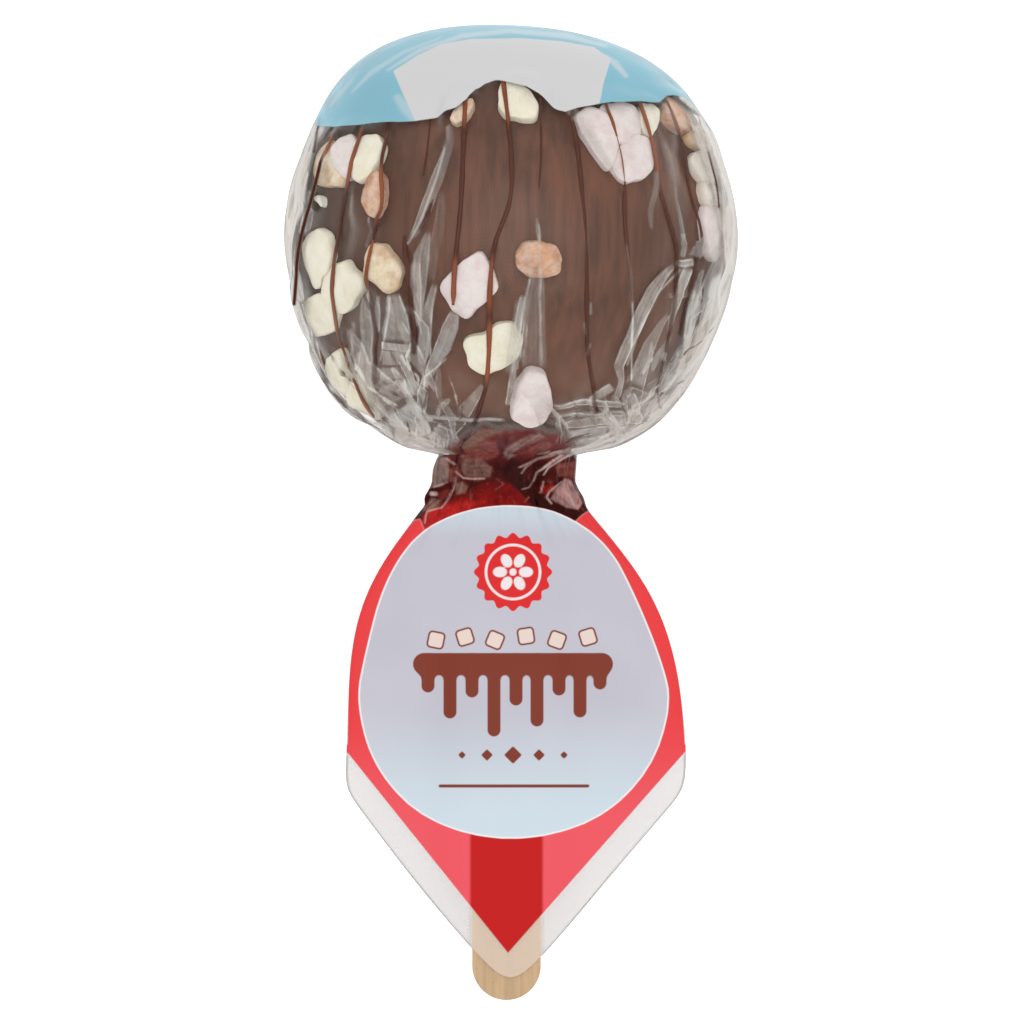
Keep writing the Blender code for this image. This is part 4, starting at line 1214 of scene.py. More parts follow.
def neck_ink(tree, film, folds):
    """The print crushed into the neck: its folds in many reds, with streaks along the pull and haze."""
    fine = noise(tree, place(tree, (1.0, 0.4, 1.0)), 760.0, 4.0, 0.6, 0.8)
    painted = node(tree, "ShaderNodeAttribute", attribute_name="crush")
    shade = mix_colour(tree, spread(tree, fine, 0.35, 0.65), (0.74, 0.68, 0.68), (1.2, 1.14, 1.14))
    colour = mix_colour(tree, 1.0, painted, shade, "MULTIPLY")
    # Painted crease shade and painted highlights: deep and pale streaks along the pull of the crushed film.
    streaks = noise(tree, place(tree, (1.0, 0.2, 1.0)), 640.0, 3.0, 0.6, 0.5)
    colour = mix_colour(tree, spread(tree, streaks, 0.42, 0.30, 0.0, 0.5), colour, seen(58, 14, 11))
    colour = mix_colour(tree, spread(tree, streaks, 0.62, 0.76, 0.0, 0.25), colour, seen(188, 130, 118))
    return mix_colour(tree, times(tree, folds, 0.1), colour, film)


def pressed_strings(points):
    """How far the strings that touch the film at its sides show at each point of the finished film."""
    places = to_photo(points).reshape(-1, 2)
    pressed = smooth_step(LIMB_LEFT_X + LIMB_FADE, LIMB_LEFT_X, places[:, 0])
    pressed += smooth_step(LIMB_RIGHT_X, LIMB_RIGHT_X + LIMB_FADE, places[:, 0])
    string = np.zeros(len(places))
    for width, corners in SHOWN_DRIZZLE:
        here, mask = string_mask(places, corners, STRING_SHOWS * width, 0.9)
        string[here] = np.maximum(string[here], pressed[here] * mask)
    string *= points[..., 2].ravel() > AXIS_Z
    return string.reshape(points.shape[:-1])


def film_material(name, rim_colour, printed=None):
    """Clear film with folds; printed adds the inks: from tree and film colour it makes colour and cover."""
    mat, tree, shader = finish(name, {"Roughness": FILM_ROUGHNESS, "IOR": 1.5})
    values = {key.capitalize(): point_value(tree, key) for key in ("veil", "tone", "glint")}
    film = use_group(tree, film_group(), {**values, "Least": 0.02})
    # The film hides more towards its rim, in a grey that is darker at the very edge: its real density seen
    # at a slant, with a painted sheen.
    facing = node(tree, "ShaderNodeLayerWeight", {"Blend": 0.5}, out=1)
    untouched = calc(tree, "MULTIPLY_ADD", point_value(tree, "touch"), -0.8, 0.85)
    rim = times(tree, calc(tree, "POWER", facing, 2.7), untouched)
    rim = times(tree, rim, spread(tree, film["Height"], 0.32, 0.66, 0.72, 1.15))
    hides = plus(tree, film["Hides"], rim, clamp=True)
    share = calc(tree, "DIVIDE", rim, plus(tree, hides, 0.001), clamp=True)
    edge = mix_colour(tree, spread(tree, facing, 0.80, 0.97), rim_colour, shaded(rim_colour, 0.6))
    colour = mix_colour(tree, share, film["Colour"], edge)
    string = point_value(tree, "string")
    colour = mix_colour(tree, string, colour, shaded(bpy.context.scene.apple_colours.drizzle, 0.7))
    hides = larger(tree, hides, string)
    wine = point_value(tree, "wine")
    colour = mix_colour(tree, wine, colour, neck_ink(tree, colour, fold_cover(tree, 0.75)))
    hides = larger(tree, hides, times(tree, wine, 0.96))
    if printed:
        colour, cover = printed(tree, colour)
        hides = larger(tree, hides, cover)
    shine = PRINT_SHINE if printed else FILM_SHINE
    feed(tree, shader.inputs, {
        "Base Color": colour,
        "Alpha": hides,
        "Specular IOR Level": calc(tree, "MULTIPLY_ADD", string, -shine, shine),
        "Normal": bump(tree, film["Height"], 0.18, 0.15 * MM),
    })
    return mat


def back_creases(fields, azimuth, y):
    """Adds seeded creases to the film behind the apple: long folds that grow narrow towards the neck."""
    draw = np.random.default_rng(BACK_SEED)
    for _ in range(BACK_CREASES):
        middle, half = draw.uniform(math.pi / 2, 3 * math.pi / 2), draw.uniform(0.015, 0.07)
        top = draw.uniform(20, 52) * MM
        strength = draw.uniform(0.15, 0.5)
        lean = draw.normal(0, 0.10)
        up = smooth_step(NECK_Y, top, y)
        narrow = half * (0.35 + 0.65 * up)
        away = np.abs(azimuth - middle - lean * up)
        mask = (1 - smooth_step(narrow * 0.7, narrow, away)) * smooth_step(top, top - 7 * MM, y)
        fields["veil"] = 1 - (1 - fields["veil"]) * (1 - strength * mask)
        fields["tone"] = np.where(mask > 0.05, draw.uniform(0.45, 0.8), fields["tone"])


def crown_fields(azimuth, y):
    """The crown's print at each point: signed px distances to its inks, and shares of painted glare and rim
    shade.
    """
    places = to_photo(form_point(FILM_FORM, azimuth, y)).reshape(-1, 2)
    front = np.cos(azimuth).ravel() > 0
    edge_azimuth, edge_y = shown_place(FILM_FORM, CROWN_EDGE)
    order = np.argsort(edge_azimuth)
    turns = np.concatenate([[-math.pi, -1.9], edge_azimuth[order], [1.9, math.pi]])
    levels = np.concatenate([[CROWN_BACK_Y] * 2, edge_y[order], [CROWN_BACK_Y] * 2])
    panel = np.minimum(outline_distance(places, CROWN_PANEL), 60)
    glare = np.maximum.reduce([bright * strip_mask(places, strip, 1.6) for bright, strip in CROWN_GLARE])
    facing = form_share(FILM_FORM, y) * np.maximum(np.cos(azimuth), 0.0)
    return {"print": (y - np.interp(azimuth, turns, levels)) / PX, "panel": np.where(front, panel, -50.0),
            "glare": np.where(front, glare, 0.0), "rim": smooth_step(0.35, 0.05, facing - 0.08)}


def crown_print(tree, film):
    """The crown's inks over the film: sky blue with painted glare and painted rim shade, and the bare grey
    panel.
    """
    colours = bpy.context.scene.apple_colours
    cloudy = spread(tree, noise(tree, place(tree), 60.0, 3.0, 0.5), 0.3, 0.7)
    sky = mix_colour(tree, cloudy, colours.blue, shaded(colours.blue, 1.1))
    # Painted shade: the blue turns deeper towards the crown's rim, in streaks.
    streaked = noise(tree, place(tree, (0.25, 1.0, 1.0)), 420.0, 3.0, 0.6)
    rim = times(tree, point_value(tree, "rim"), spread(tree, streaked, 0.35, 0.62))
    sky = mix_colour(tree, rim, sky, seen(128, 160, 172))
    # Painted highlights: the glare lightens the blue in strips.
    sky = mix_colour(tree, point_value(tree, "glare"), sky, seen(190, 206, 212))
    coloured = mix_colour(tree, ink(tree, "panel"), sky, colours.grey)
    cover = ink(tree, "print")
    return mix_colour(tree, cover, film, coloured), cover


def tail_fields(share, side, points):
    """The tail's print at each point: signed distances in px to its inks, and shares from 0 to 1."""
    y = points[..., 1]
    places = to_photo(points).reshape(-1, 2)
    down = places[:, 1].reshape(y.shape)

    def held(distances):
        """Distances kept within the farthest one, in the grid's rows."""
        return np.clip(distances, -FARTHEST, FARTHEST).reshape(y.shape)

    panel = outline_distance(places, rounded_loop(TAIL_PANEL, 120))
    vee = outline_distance(places, TAIL_RED).reshape(y.shape)
    margin = (0.5 - np.abs(share - 0.5)) * 2 * tail_half_width(y) / PX
    on_stick = smooth_step(*STICK_PRINT, np.abs(points[..., 0] - STICK_X))
    on_stick = on_stick * smooth_step(*STICK_SHADE_ROWS, down)
    hem = (1 - smooth_step(0.6, 2.6, margin)) * smooth_step(*HEM_ROWS, down)
    fields = {
        "panel": held(panel),
        "panel_edge": held(panel + TAIL_GREY_EDGE),
        "red": held(np.minimum(vee, np.where(down < SIDE_RED_END, margin - 1.0, FARTHEST))),
        "painted_backlight": smooth_step(*BACKLIGHT_ROWS, down),
        "low": np.maximum(smooth_step(*FOOT_ROWS, down), 0.9 * smooth_step(*HEAD_ROWS, down)),
        "below": smooth_step(*BARE_ROWS, down) * (1.0 if side < 0 else 0.5),
        "crushed": smooth_step(*CRUSHED_ROWS, down),
        "over_stick": on_stick,
        "hem": hem * (1 - 0.85 * on_stick),
    }
    shapes = ornament(places) if side > 0 else np.full((4, len(places)), -FARTHEST)
    fields.update(zip(("seal", "light", "brown", "square"), map(held, shapes)))
    return fields


def tail_inks(tree):
    """The tail's inks: its reds, the pale panel with a light edge, and the ornament on the panel."""
    colours = bpy.context.scene.apple_colours
    # Painted light: the red is lighter low down, where the floor shines through it.
    # Painted shade: the red is deep over the stick, which stops that light.
    drawn = mix_colour(tree, point_value(tree, "painted_backlight"), colours.red, colours.backlit_red)
    drawn = mix_colour(tree, point_value(tree, "over_stick"), drawn, colours.stick_shaded_red)
    cloudy = spread(tree, noise(tree, place(tree), 60.0, 2.0, 0.5), 0.3, 0.7, 0.0, 0.6)
    panel = mix_colour(tree, cloudy, colours.panel, seen(202, 201, 211))
    panel = mix_colour(tree, point_value(tree, "low"), panel, colours.panel_low)
    light = times(tree, ink(tree, "seal"), ink(tree, "light"))
    for share, colour in ((ink(tree, "panel_edge"), seen(244, 240, 242)), (ink(tree, "panel"), panel),
                          (ink(tree, "brown"), colours.brown), (ink(tree, "square"), seen(232, 214, 204)),
                          (ink(tree, "seal"), seen(222, 46, 48)), (light, seen(240, 232, 232))):
        drawn = mix_colour(tree, share, drawn, colour)
    return drawn


def tail_print(tree, film):
    """The tail's print: its inks with the crushed folds over them, and the bare film with its hem."""
    below, over_stick, hem = (point_value(tree, key) for key in ("below", "over_stick", "hem"))
    # Over the stick the bare film is lighter and covers more: its own slight haze, with painted light
    # that lifts the film's shadow on the wood.
    clear = mix_colour(tree, over_stick, seen(232, 228, 222), seen(255, 237, 220))
    pale = mix_colour(tree, spread(tree, below, 0.5, 1.0), clear, seen(168, 168, 168))
    bare = mix_colour(tree, larger(tree, below, over_stick), film, pale)
    bare = mix_colour(tree, hem, bare, seen(150, 150, 150))
    bare_cover = plus(tree, times(tree, below, 0.5), times(tree, hem, 0.3), clamp=True)
    bare_cover = calc(tree, "MULTIPLY_ADD", over_stick, 0.25, bare_cover)
    folds = times(tree, fold_cover(tree, 0.8), point_value(tree, "crushed"))
    beside = calc(tree, "SUBTRACT", 1.0, ink(tree, "panel_edge"))
    gathered = times(tree, point_value(tree, "wine"), beside)
    over = larger(tree, times(tree, folds, 0.6), gathered)
    inked = mix_colour(tree, over, tail_inks(tree), film)
    cover = ink(tree, "red")
    return mix_colour(tree, cover, bare, inked), larger(tree, cover, bare_cover)


def stick_rings():
    """The stick as rings from its back up: a strip with half circles at its ends, its edges drawn in."""
    turn = np.linspace(0, 2 * math.pi, STICK_POINTS, endpoint=False)
    rise = np.linspace(-math.pi / 2, math.pi / 2, STICK_RINGS)
    drawn_in = STICK_EDGE * (1 - np.cos(rise))[:, None]
    z = AXIS_Z + (STICK_THICK / 2 - STICK_EDGE) * np.sign(rise) + STICK_EDGE * np.sin(rise)
    reach = STICK_HALF - drawn_in
    run = (STICK_HIGH.y - STICK_LOW.y) / 2 - STICK_HALF
    middle_y = (STICK_HIGH.y + STICK_LOW.y) / 2
    x = STICK_X + reach * np.cos(turn)
    y = middle_y + run * np.sign(np.sin(turn + 1e-6)) + reach * np.sin(turn)
    return np.stack([x, y, np.broadcast_to(z[:, None], x.shape)], axis=-1)


# ------------------------------------------------------------------ contents

Marshmallow = namedtuple("Marshmallow", "colour azimuth y outline height seed")


def marshmallow_rows():
    """Every marshmallow: its place on the apple, its outline as (across, along) points and its height."""
    sizes = bpy.context.scene.apple_sizes

    def block(colour, azimuth, y, outline):
        """One marshmallow: it stands lower at the apple's sides, and higher if it is one of the tall ones."""
        height = sizes.marshmallow_height * (0.45 + 0.55 * abs(math.cos(azimuth)))
        height *= TALL_SHARE if len(rows) in TALL_MARSHMALLOWS else 1.0
        return Marshmallow(colour, azimuth, y, outline, height, BLOCK_SEED + len(rows))

    rows = []
    for colour, corners in SHOWN_MARSHMALLOWS:
        corners = np.array(corners, float)
        middle = (corners.max(0) + corners.min(0)) / 2
        azimuth, y = shown_place(APPLE_FORM, middle[None], sizes.marshmallow_height / 2)
        azimuth, y = azimuth[0], y[0]
        around, along = form_directions(APPLE_FORM, azimuth, y)
        offset = (corners - middle) * (PX, -PX)
        up = offset[:, 1] / max(0.5, along[1])
        across = (offset[:, 0] - up * along[0]) * np.sign(around[0]) / max(0.4, abs(around[0]))
        rows.append(fitted(block(colour, azimuth, y, np.stack([across, up], axis=1)), corners))
    draw = np.random.default_rng(HIDDEN_SEED)
    taken = [form_point(APPLE_FORM, row.azimuth, row.y) for row in rows]
    rest = np.array([0.0, FILM_FORM.middle_y, 0.0])
    while len(rows) < len(SHOWN_MARSHMALLOWS) + sizes.hidden_marshmallows:
        azimuth, y = math.radians(draw.uniform(104, 256)), draw.uniform(16, 71) * MM
        spot = form_point(APPLE_FORM, azimuth, y)
        crowded = min(np.linalg.norm(spot - other) for other in taken) < HIDDEN_GAP
        if crowded or np.linalg.norm(spot - rest) < REST_SPOT:
            continue
        taken.append(spot)
        turn = np.arange(HIDDEN_CORNERS) * 2 * math.pi / HIDDEN_CORNERS + draw.uniform(0, 0.7)
        reach = draw.uniform(3.4, 4.7) * MM * (1 + draw.uniform(-0.14, 0.14, HIDDEN_CORNERS))
        outline = np.stack([np.cos(turn) * reach, np.sin(turn) * reach * draw.uniform(0.8, 1.25)], axis=1)
        rows.append(block(HIDDEN_COLOURS[draw.integers(6)], azimuth, y, outline))
    return rows


def fitted(row, corners):
    """A marshmallow moved and stretched until the camera sees it in the box round its corners."""
    low, high = corners.min(0), corners.max(0)
    stretch = np.ones(2)
    for _ in range(8):
        places = to_photo(marshmallow_mesh(row)[0][:SHOWN_RINGS * RIM_POINTS])
        wider = np.clip((high - low) / np.ptp(places, axis=0), 0.8, 1.25)
        wider = np.clip(stretch * wider, 0.4, 1.7) / stretch
        stretch = stretch * wider
        miss = ((high + low) - places.max(0) - places.min(0)) / 2 * (PX, -PX)
        facing = max(0.35, math.cos(row.azimuth))
        reach = APPLE_FORM.half_width * form_share(APPLE_FORM, row.y) * facing
        row = row._replace(azimuth=np.clip(row.azimuth + SEARCH_SHARE * miss[0] / reach, -1.5, 1.5),
                           y=row.y + SEARCH_SHARE * miss[1], outline=row.outline * wider)
    return row


def block_top(reach, u, v, height, seed):
    """A marshmallow's top over its outline: a superellipse dome that seeded planes cut into soft facets.

    reach is 0 at the middle and 1 on the outline; u and v are shares of the outline's reach.
    """
    half = (height + MARSHMALLOW_SINK) / 2
    top = height - half + half * np.maximum(0.0, 1.0 - np.minimum(reach, 1.0) ** DOME_POWER) ** DOME_ROOT
    draw = np.random.default_rng(seed)
    for _ in range(FACETS):
        turn, slope, level = draw.uniform(0, 2 * math.pi), draw.uniform(0.15, 0.5), draw.uniform(0.80, 1.0)
        facet = height * (level - slope * (u * math.cos(turn) + v * math.sin(turn)))
        top = soft_min(top, facet, FACET_SOFT)
    return top


def marshmallow_mesh(row):
    """A lumpy block: rings of its outline shrink up to the faceted top and bulge down into the chocolate."""
    height = row.height
    around, along = form_directions(APPLE_FORM, row.azimuth, row.y)
    out = np.cross(around, along)
    loop = rounded_loop(row.outline, RIM_POINTS)
    following = np.roll(loop, -1, axis=0)
    if (loop[:, 0] * following[:, 1] - loop[:, 1] * following[:, 0]).sum() > 0:
        loop = loop[::-1]
    half = (height + MARSHMALLOW_SINK) / 2
    rise = np.concatenate([np.linspace(0.0, 0.3, 8)[1:], np.linspace(0.34, 0.62 * math.pi, 17)])[:, None]
    shrink = np.sin(rise) ** 0.55
    lift = np.sign(np.cos(rise)) * np.abs(np.cos(rise)) ** 0.6
    reach = np.hypot(*loop.T)
    towards = loop / reach[:, None]
    a, c = np.random.default_rng(row.seed).uniform(0, 2 * math.pi, 2)
    turn = np.linspace(0, 2 * math.pi, len(loop), endpoint=False)
    uneven = 1 + 0.025 * np.sin(5 * turn + a + rise) + 0.02 * np.sin(9 * turn + c)
    u, v = shrink * loop[:, 0] * uneven, shrink * loop[:, 1] * uneven
    top = block_top(shrink + 0 * reach, shrink * towards[:, 0], shrink * towards[:, 1], height, row.seed)
    w = np.where(rise < math.pi / 2, top, np.minimum(height - half + half * lift, top))
    points = form_point(APPLE_FORM, row.azimuth, row.y) + u[..., None] * around + v[..., None] * along
    points = points + (w - (u ** 2 + v ** 2) / (2 * APPLE_FORM.half_width))[..., None] * out
    points[..., 2] = np.maximum(points[..., 2], CONTENTS_CLEAR)
    points, faces = capped_tube(points)
    edge = np.concatenate([np.broadcast_to(shrink, u.shape).ravel(), [0.0, 1.0]])
    return points, faces, edge


def contents_height(azimuth, y, rows):
    """How far the marshmallows stand out of the apple at each place: the highest block there."""
    here = form_point(APPLE_FORM, azimuth, y)
    tall = np.zeros(np.shape(azimuth))
    for row in rows:
        around, along = form_directions(APPLE_FORM, row.azimuth, row.y)
        offset = here - form_point(APPLE_FORM, row.azimuth, row.y)
        u, v = offset @ around, offset @ along
        loop = rounded_loop(row.outline, RIM_POINTS)
        turns = np.arctan2(loop[:, 1], loop[:, 0])
        order = np.argsort(turns)
        rim = np.interp(np.arctan2(v, u), turns[order], np.hypot(*loop[order].T), period=2 * math.pi)
        reach = np.hypot(u, v) / rim
        near = (np.linalg.norm(offset, axis=-1) < 12 * MM) & (reach < 1)
        sag = (u ** 2 + v ** 2) / (2 * APPLE_FORM.half_width) + offset @ np.cross(around, along)
        top = block_top(reach, u / rim, v / rim, row.height, row.seed) - sag
        tall = np.where(near, np.maximum(tall, top), tall)
    return tall


def tallest_near(azimuth, y, rows):
    """The highest block at each place or just beside it, so that a string clears the block's sides."""
    return np.maximum.reduce([contents_height(azimuth + turn, y, rows) for turn in (-BESIDE, 0.0, BESIDE)])


def draped(tall):
    """Heights along a string that spans dips: the highest of the near places, then eased."""
    window = np.lib.stride_tricks.sliding_window_view(np.pad(tall, 3, mode="edge"), 7)
    kernel = np.hanning(9)[1:-1]
    return np.convolve(np.pad(window.max(axis=-1), 3, mode="edge"), kernel / kernel.sum(), mode="valid")


def drizzle_lines(rows):
    """Every string as (azimuth, y, height, share of the full width): those shown, then seeded ones behind."""
    lines = []
    for width, corners in SHOWN_DRIZZLE:
        line = smooth_line(corners, 2.4)
        tall = np.zeros(len(line))
        for _ in range(4):
            azimuth, y = shown_place(APPLE_FORM, line, tall + DRIZZLE_RISE)
            tall = 0.5 * tall + 0.5 * draped(tallest_near(azimuth, y, rows))
        for _ in range(3):
            azimuth, y = shown_place(APPLE_FORM, line, tall + DRIZZLE_RISE)
            miss = line - to_photo(form_point(APPLE_FORM, azimuth, y, tall + DRIZZLE_RISE))
            tall = np.minimum(tall + PX * np.linalg.norm(miss, axis=1), np.maximum(tall, LIMB_LIFT))
        lines.append((azimuth, y, tall + DRIZZLE_RISE, width))
    draw = np.random.default_rng(DRIZZLE_SEED)
    for azimuth in HIDDEN_STRINGS:
        y = np.linspace(67, 13, 110) * MM
        sway = draw.uniform(0.02, 0.06) * np.sin(y / (draw.uniform(9, 16) * MM) + draw.uniform(0, 6))
        azimuth = azimuth + sway + draw.uniform(-0.05, 0.05)
        lines.append((azimuth, y, draped(contents_height(azimuth, y, rows)) + DRIZZLE_RISE, 1.0))
    return lines


def drizzle_mesh(line, rows, width, seed):
    """A string laid over the apple and its marshmallows: a flattened ring carried along the line."""
    azimuth, y, tall, share = line
    centre = form_point(APPLE_FORM, azimuth, y, tall)
    out = form_normal(APPLE_FORM, azimuth, y)
    forward = np.gradient(centre, axis=0)
    forward /= np.linalg.norm(forward, axis=1, keepdims=True)
    aside = np.cross(out, forward)
    aside /= np.linalg.norm(aside, axis=1, keepdims=True)
    upward = np.cross(forward, aside)
    draw = np.random.default_rng(seed)
    step = np.arange(len(y))
    a, b = draw.uniform(0, 6, 2)
    uneven = 1 + 0.14 * np.sin(step * 0.11 + a) + 0.08 * np.sin(step * 0.37 + b)
    taper = np.clip(np.minimum(step, step[::-1]) / 5.0, 0.25, 1.0) ** 0.5
    half = width / 2 * share * uneven * taper
    turn = np.arange(STRING_SIDES) * 2 * math.pi / STRING_SIDES
    ring = (np.cos(turn)[None, :, None] * aside[:, None] * half[:, None, None]
            + np.sin(turn)[None, :, None] * upward[:, None] * half[:, None, None] * 0.55)
    ring = centre[:, None] + ring
    ring[..., 2] = np.maximum(ring[..., 2], CONTENTS_CLEAR)
    points, faces = capped_tube(ring)
    over = draped(smooth_step(0.2 * MM, 0.8 * MM, contents_height(azimuth, y, rows)))
    over = np.concatenate([np.repeat(over, STRING_SIDES), over[[0, -1]]])
    return points, faces, over


# ------------------------------------------------------------------ the stage

class AppleSizes(bpy.types.PropertyGroup):
    """Sizes of what the bag holds."""
    marshmallow_height: FloatProperty(
        name="Marshmallow height", description="How far it stands out", default=2.4 * MM, unit="LENGTH")
    hidden_marshmallows: IntProperty(
        name="Hidden marshmallows", description="Marshmallows on the far side", default=28)
    drizzle_width: FloatProperty(
        name="Drizzle width", description="Width of one drizzle string", default=0.78 * MM, unit="LENGTH")


def colour_property(name, description, default):
    """A colour setting, in linear light."""
    return FloatVectorProperty(name=name, description=description, default=default, subtype="COLOR",
                               min=0, max=1)


class AppleColours(bpy.types.PropertyGroup):
    """Colours of the contents, the print and the stick."""
    chocolate: colour_property("Chocolate", "Milk chocolate coat", seen(104, 68, 52))
    drizzle: colour_property("Drizzle", "Drizzle strings over the chocolate", seen(88, 45, 30))
    drizzle_thin: colour_property("Thin drizzle", "Drizzle where it lies on a marshmallow", seen(146, 78, 46))
    cream: colour_property("Cream", "Cream marshmallow", seen(240, 236, 216))
    pink: colour_property("Pink", "Pink marshmallow", seen(231, 219, 217))
    tan: colour_property("Tan", "Marshmallow stained by chocolate", seen(214, 164, 130))
    blue: colour_property("Blue", "Sky blue print", seen(130, 181, 197))
    grey: colour_property("Grey", "Bare grey panel of the crown", seen(208, 208, 208))
    red: colour_property("Red", "Red print of the tail", seen(233, 66, 69))
    # Painted light: the tail's red is lighter low down, where the floor shines through it.
    # Painted shade: the tail's red is deep over the stick, which stops that light.
    backlit_red: colour_property("Pale red", "Red print of the tail below the panel", seen(238, 90, 99))
    stick_shaded_red: colour_property("Stick red", "Red print where it lies on the stick", seen(196, 26, 25))
    panel: colour_property("Panel", "Pale panel of the tail", seen(194, 192, 203))
    panel_low: colour_property("Panel foot", "The panel's lower end", seen(206, 220, 229))
    brown: colour_property("Brown", "Brown ornament", seen(130, 60, 45))
    wood: colour_property("Wood", "Bare wood of the stick", seen(204, 170, 130))
    floor: colour_property("Floor", "Pale floor", (0.94, 0.94, 0.94))


class APPLE_OT_body(bpy.types.Operator):
    """Make the chocolate covered apple"""
    bl_idname = "apple.body"
    bl_label = "Chocolate apple"

    def execute(self, context):
        mat, tree, shader = finish("milk chocolate", {"Specular IOR Level": 0.25})
        streaks = noise(tree, place(tree, (1.0, 0.04, 1.0)), 620.0, 3.0, 0.6)
        bands = noise(tree, place(tree, (1.0, 0.25, 1.0)), 120.0, 2.0, 0.5)
        broad = noise(tree, place(tree), 42.0, 2.0, 0.5)
        patchy = in_shares(tree, bands, broad, 0.55)
        tone = spread(tree, in_shares(tree, streaks, patchy, 0.5), 0.36, 0.64)
        base = context.scene.apple_colours.chocolate
        colour = mix_colour(tree, tone, shaded(base, 0.68, 0.73, 0.78), shaded(base, 1.30, 1.27, 1.24))
        across, along = (node(tree, "ShaderNodeSeparateXYZ", {0: place(tree)}, out=axis) for axis in (0, 1))
        # Painted shade darkens the apple's left side.
        painted_flank_shade = spread(tree, across, -10 * MM, -30 * MM, 0.0, 0.8)
        colour = mix_colour(tree, painted_flank_shade, colour, shaded(base, 0.48, 0.60, 0.68))
        # Painted light makes the apple lighter towards its foot.
        foot = spread(tree, along, 34 * MM, 14 * MM, 0.0, 0.8)
        colour = mix_colour(tree, foot, colour, shaded(base, 1.3))
        grain = use_group(tree, powder_group(), {"Scale": 300.0, "Stretch": (1.0, 0.5, 1.0)})
        feed(tree, shader.inputs, {"Base Color": colour,
                                   "Normal": bump(tree, grain["Height"], 0.25, 0.2 * MM),
                                   "Roughness": spread(tree, grain["Tone"], 0.0, 1.0, 0.36, 0.5)})
        azimuth, turn = np.meshgrid(np.linspace(0, 2 * math.pi, 200, endpoint=False),
                                    np.linspace(0.49 * math.pi, -0.49 * math.pi, 150))
        y = APPLE_FORM.middle_y + np.where(turn > 0, APPLE_FORM.up, APPLE_FORM.down) * np.sin(turn)
        waves = 0.16 * np.sin(3 * azimuth + 1.0) * np.cos(2 * turn) + 0.10 * np.sin(7 * azimuth + 9 * turn)
        points, faces = capped_tube(form_point(APPLE_FORM, azimuth, y, waves * MM)[:, ::-1])
        new_object("chocolate_apple", points, faces, {}, mat, "milk_chocolate")
        return {"FINISHED"}


class APPLE_OT_marshmallows(bpy.types.Operator):
    """Make the marshmallows, one piece for each colour"""
    bl_idname = "apple.marshmallows"
    bl_label = "Marshmallows"

    def execute(self, context):
        colours = context.scene.apple_colours
        finishes = {
            # The white piece is a painted highlight, put where the film shows a glint.
            "white": (seen(244, 242, 232), seen(226, 220, 200), 0.3, "marshmallow_cream"),
            "grey": (seen(234, 229, 219), seen(204, 186, 164), 0.5, "marshmallow_cream"),
            "cream": (colours.cream, seen(220, 200, 158), 0.24, "marshmallow_cream"),
            "pink": (colours.pink, seen(208, 182, 182), 0.34, "marshmallow_pink"),
            "tan": (colours.tan, seen(160, 104, 76), 0.60, "marshmallow_tan"),
            "tan_cream": (seen(234, 218, 186), seen(196, 148, 108), 0.65, "marshmallow_cream"),
        }
        rows = marshmallow_rows()
        for kind, (plain, stain, share, slot) in finishes.items():
            mat, tree, shader = finish("marshmallow " + kind.replace("_", " "),
                                       {"Roughness": 0.75, "Specular IOR Level": 0.25})
            grain = use_group(tree, powder_group(), {"Scale": 420.0, "Stretch": (1.0, 1.0, 1.0)})
            lumps = noise(tree, place(tree), 330.0, 3.0, 0.55, 0.6)
            patches = spread(tree, noise(tree, place(tree), 230.0, 3.0, 0.6), 0.44, 0.62)
            edge = spread(tree, point_value(tree, "edge"), 0.72, 1.0)
            colour = mix_colour(tree, times(tree, larger(tree, patches, edge), share), plain, stain)
            # Painted shade: thin lines in the creases of the lumps turn towards the stain colour.
            crease = calc(tree, "ABSOLUTE", calc(tree, "SUBTRACT", lumps, 0.5))
            colour = mix_colour(tree, spread(tree, crease, 0.035, 0.0, 0.0, 0.22), colour, stain)
            dusty = spread(tree, grain["Tone"], 0.0, 1.0, 0.0, 0.3)
            rough = in_shares(tree, lumps, grain["Height"], 0.7)
            feed(tree, shader.inputs, {"Base Color": mix_colour(tree, dusty, colour, seen(248, 244, 232)),
                                       "Normal": bump(tree, rough, 0.5, 0.9 * MM)})
            points, faces, edges = joined([marshmallow_mesh(row) for row in rows if row.colour == kind])
            new_object("marshmallows_" + kind, points, faces, {"edge": edges}, mat, slot)
        return {"FINISHED"}


class APPLE_OT_drizzle(bpy.types.Operator):
    """Make the drizzle strings"""
    bl_idname = "apple.drizzle"
    bl_label = "Drizzle"

    def execute(self, context):
        colours = context.scene.apple_colours
        mat, tree, shader = finish("chocolate drizzle", {"Roughness": 0.45, "Specular IOR Level": 0.15})
        grain = use_group(tree, powder_group(), {"Scale": 300.0, "Stretch": (1.0, 0.2, 1.0)})
        colour = mix_colour(tree, point_value(tree, "over"), colours.drizzle, colours.drizzle_thin)
        grainy = spread(tree, grain["Tone"], 0.0, 1.0, 0.0, 0.4)
        colour = mix_colour(tree, grainy, colour, shaded(colours.drizzle, 0.62))
        feed(tree, shader.inputs, {"Base Color": colour,
                                   "Normal": bump(tree, grain["Height"], 0.2, 0.1 * MM)})
        rows = marshmallow_rows()
        parts = [drizzle_mesh(line, rows, context.scene.apple_sizes.drizzle_width, STRING_SEED + i)
                 for i, line in enumerate(drizzle_lines(rows))]
        points, faces, over = joined(parts)
        new_object("drizzle", points, faces, {"over": over}, mat, "chocolate_drizzle")
        return {"FINISHED"}


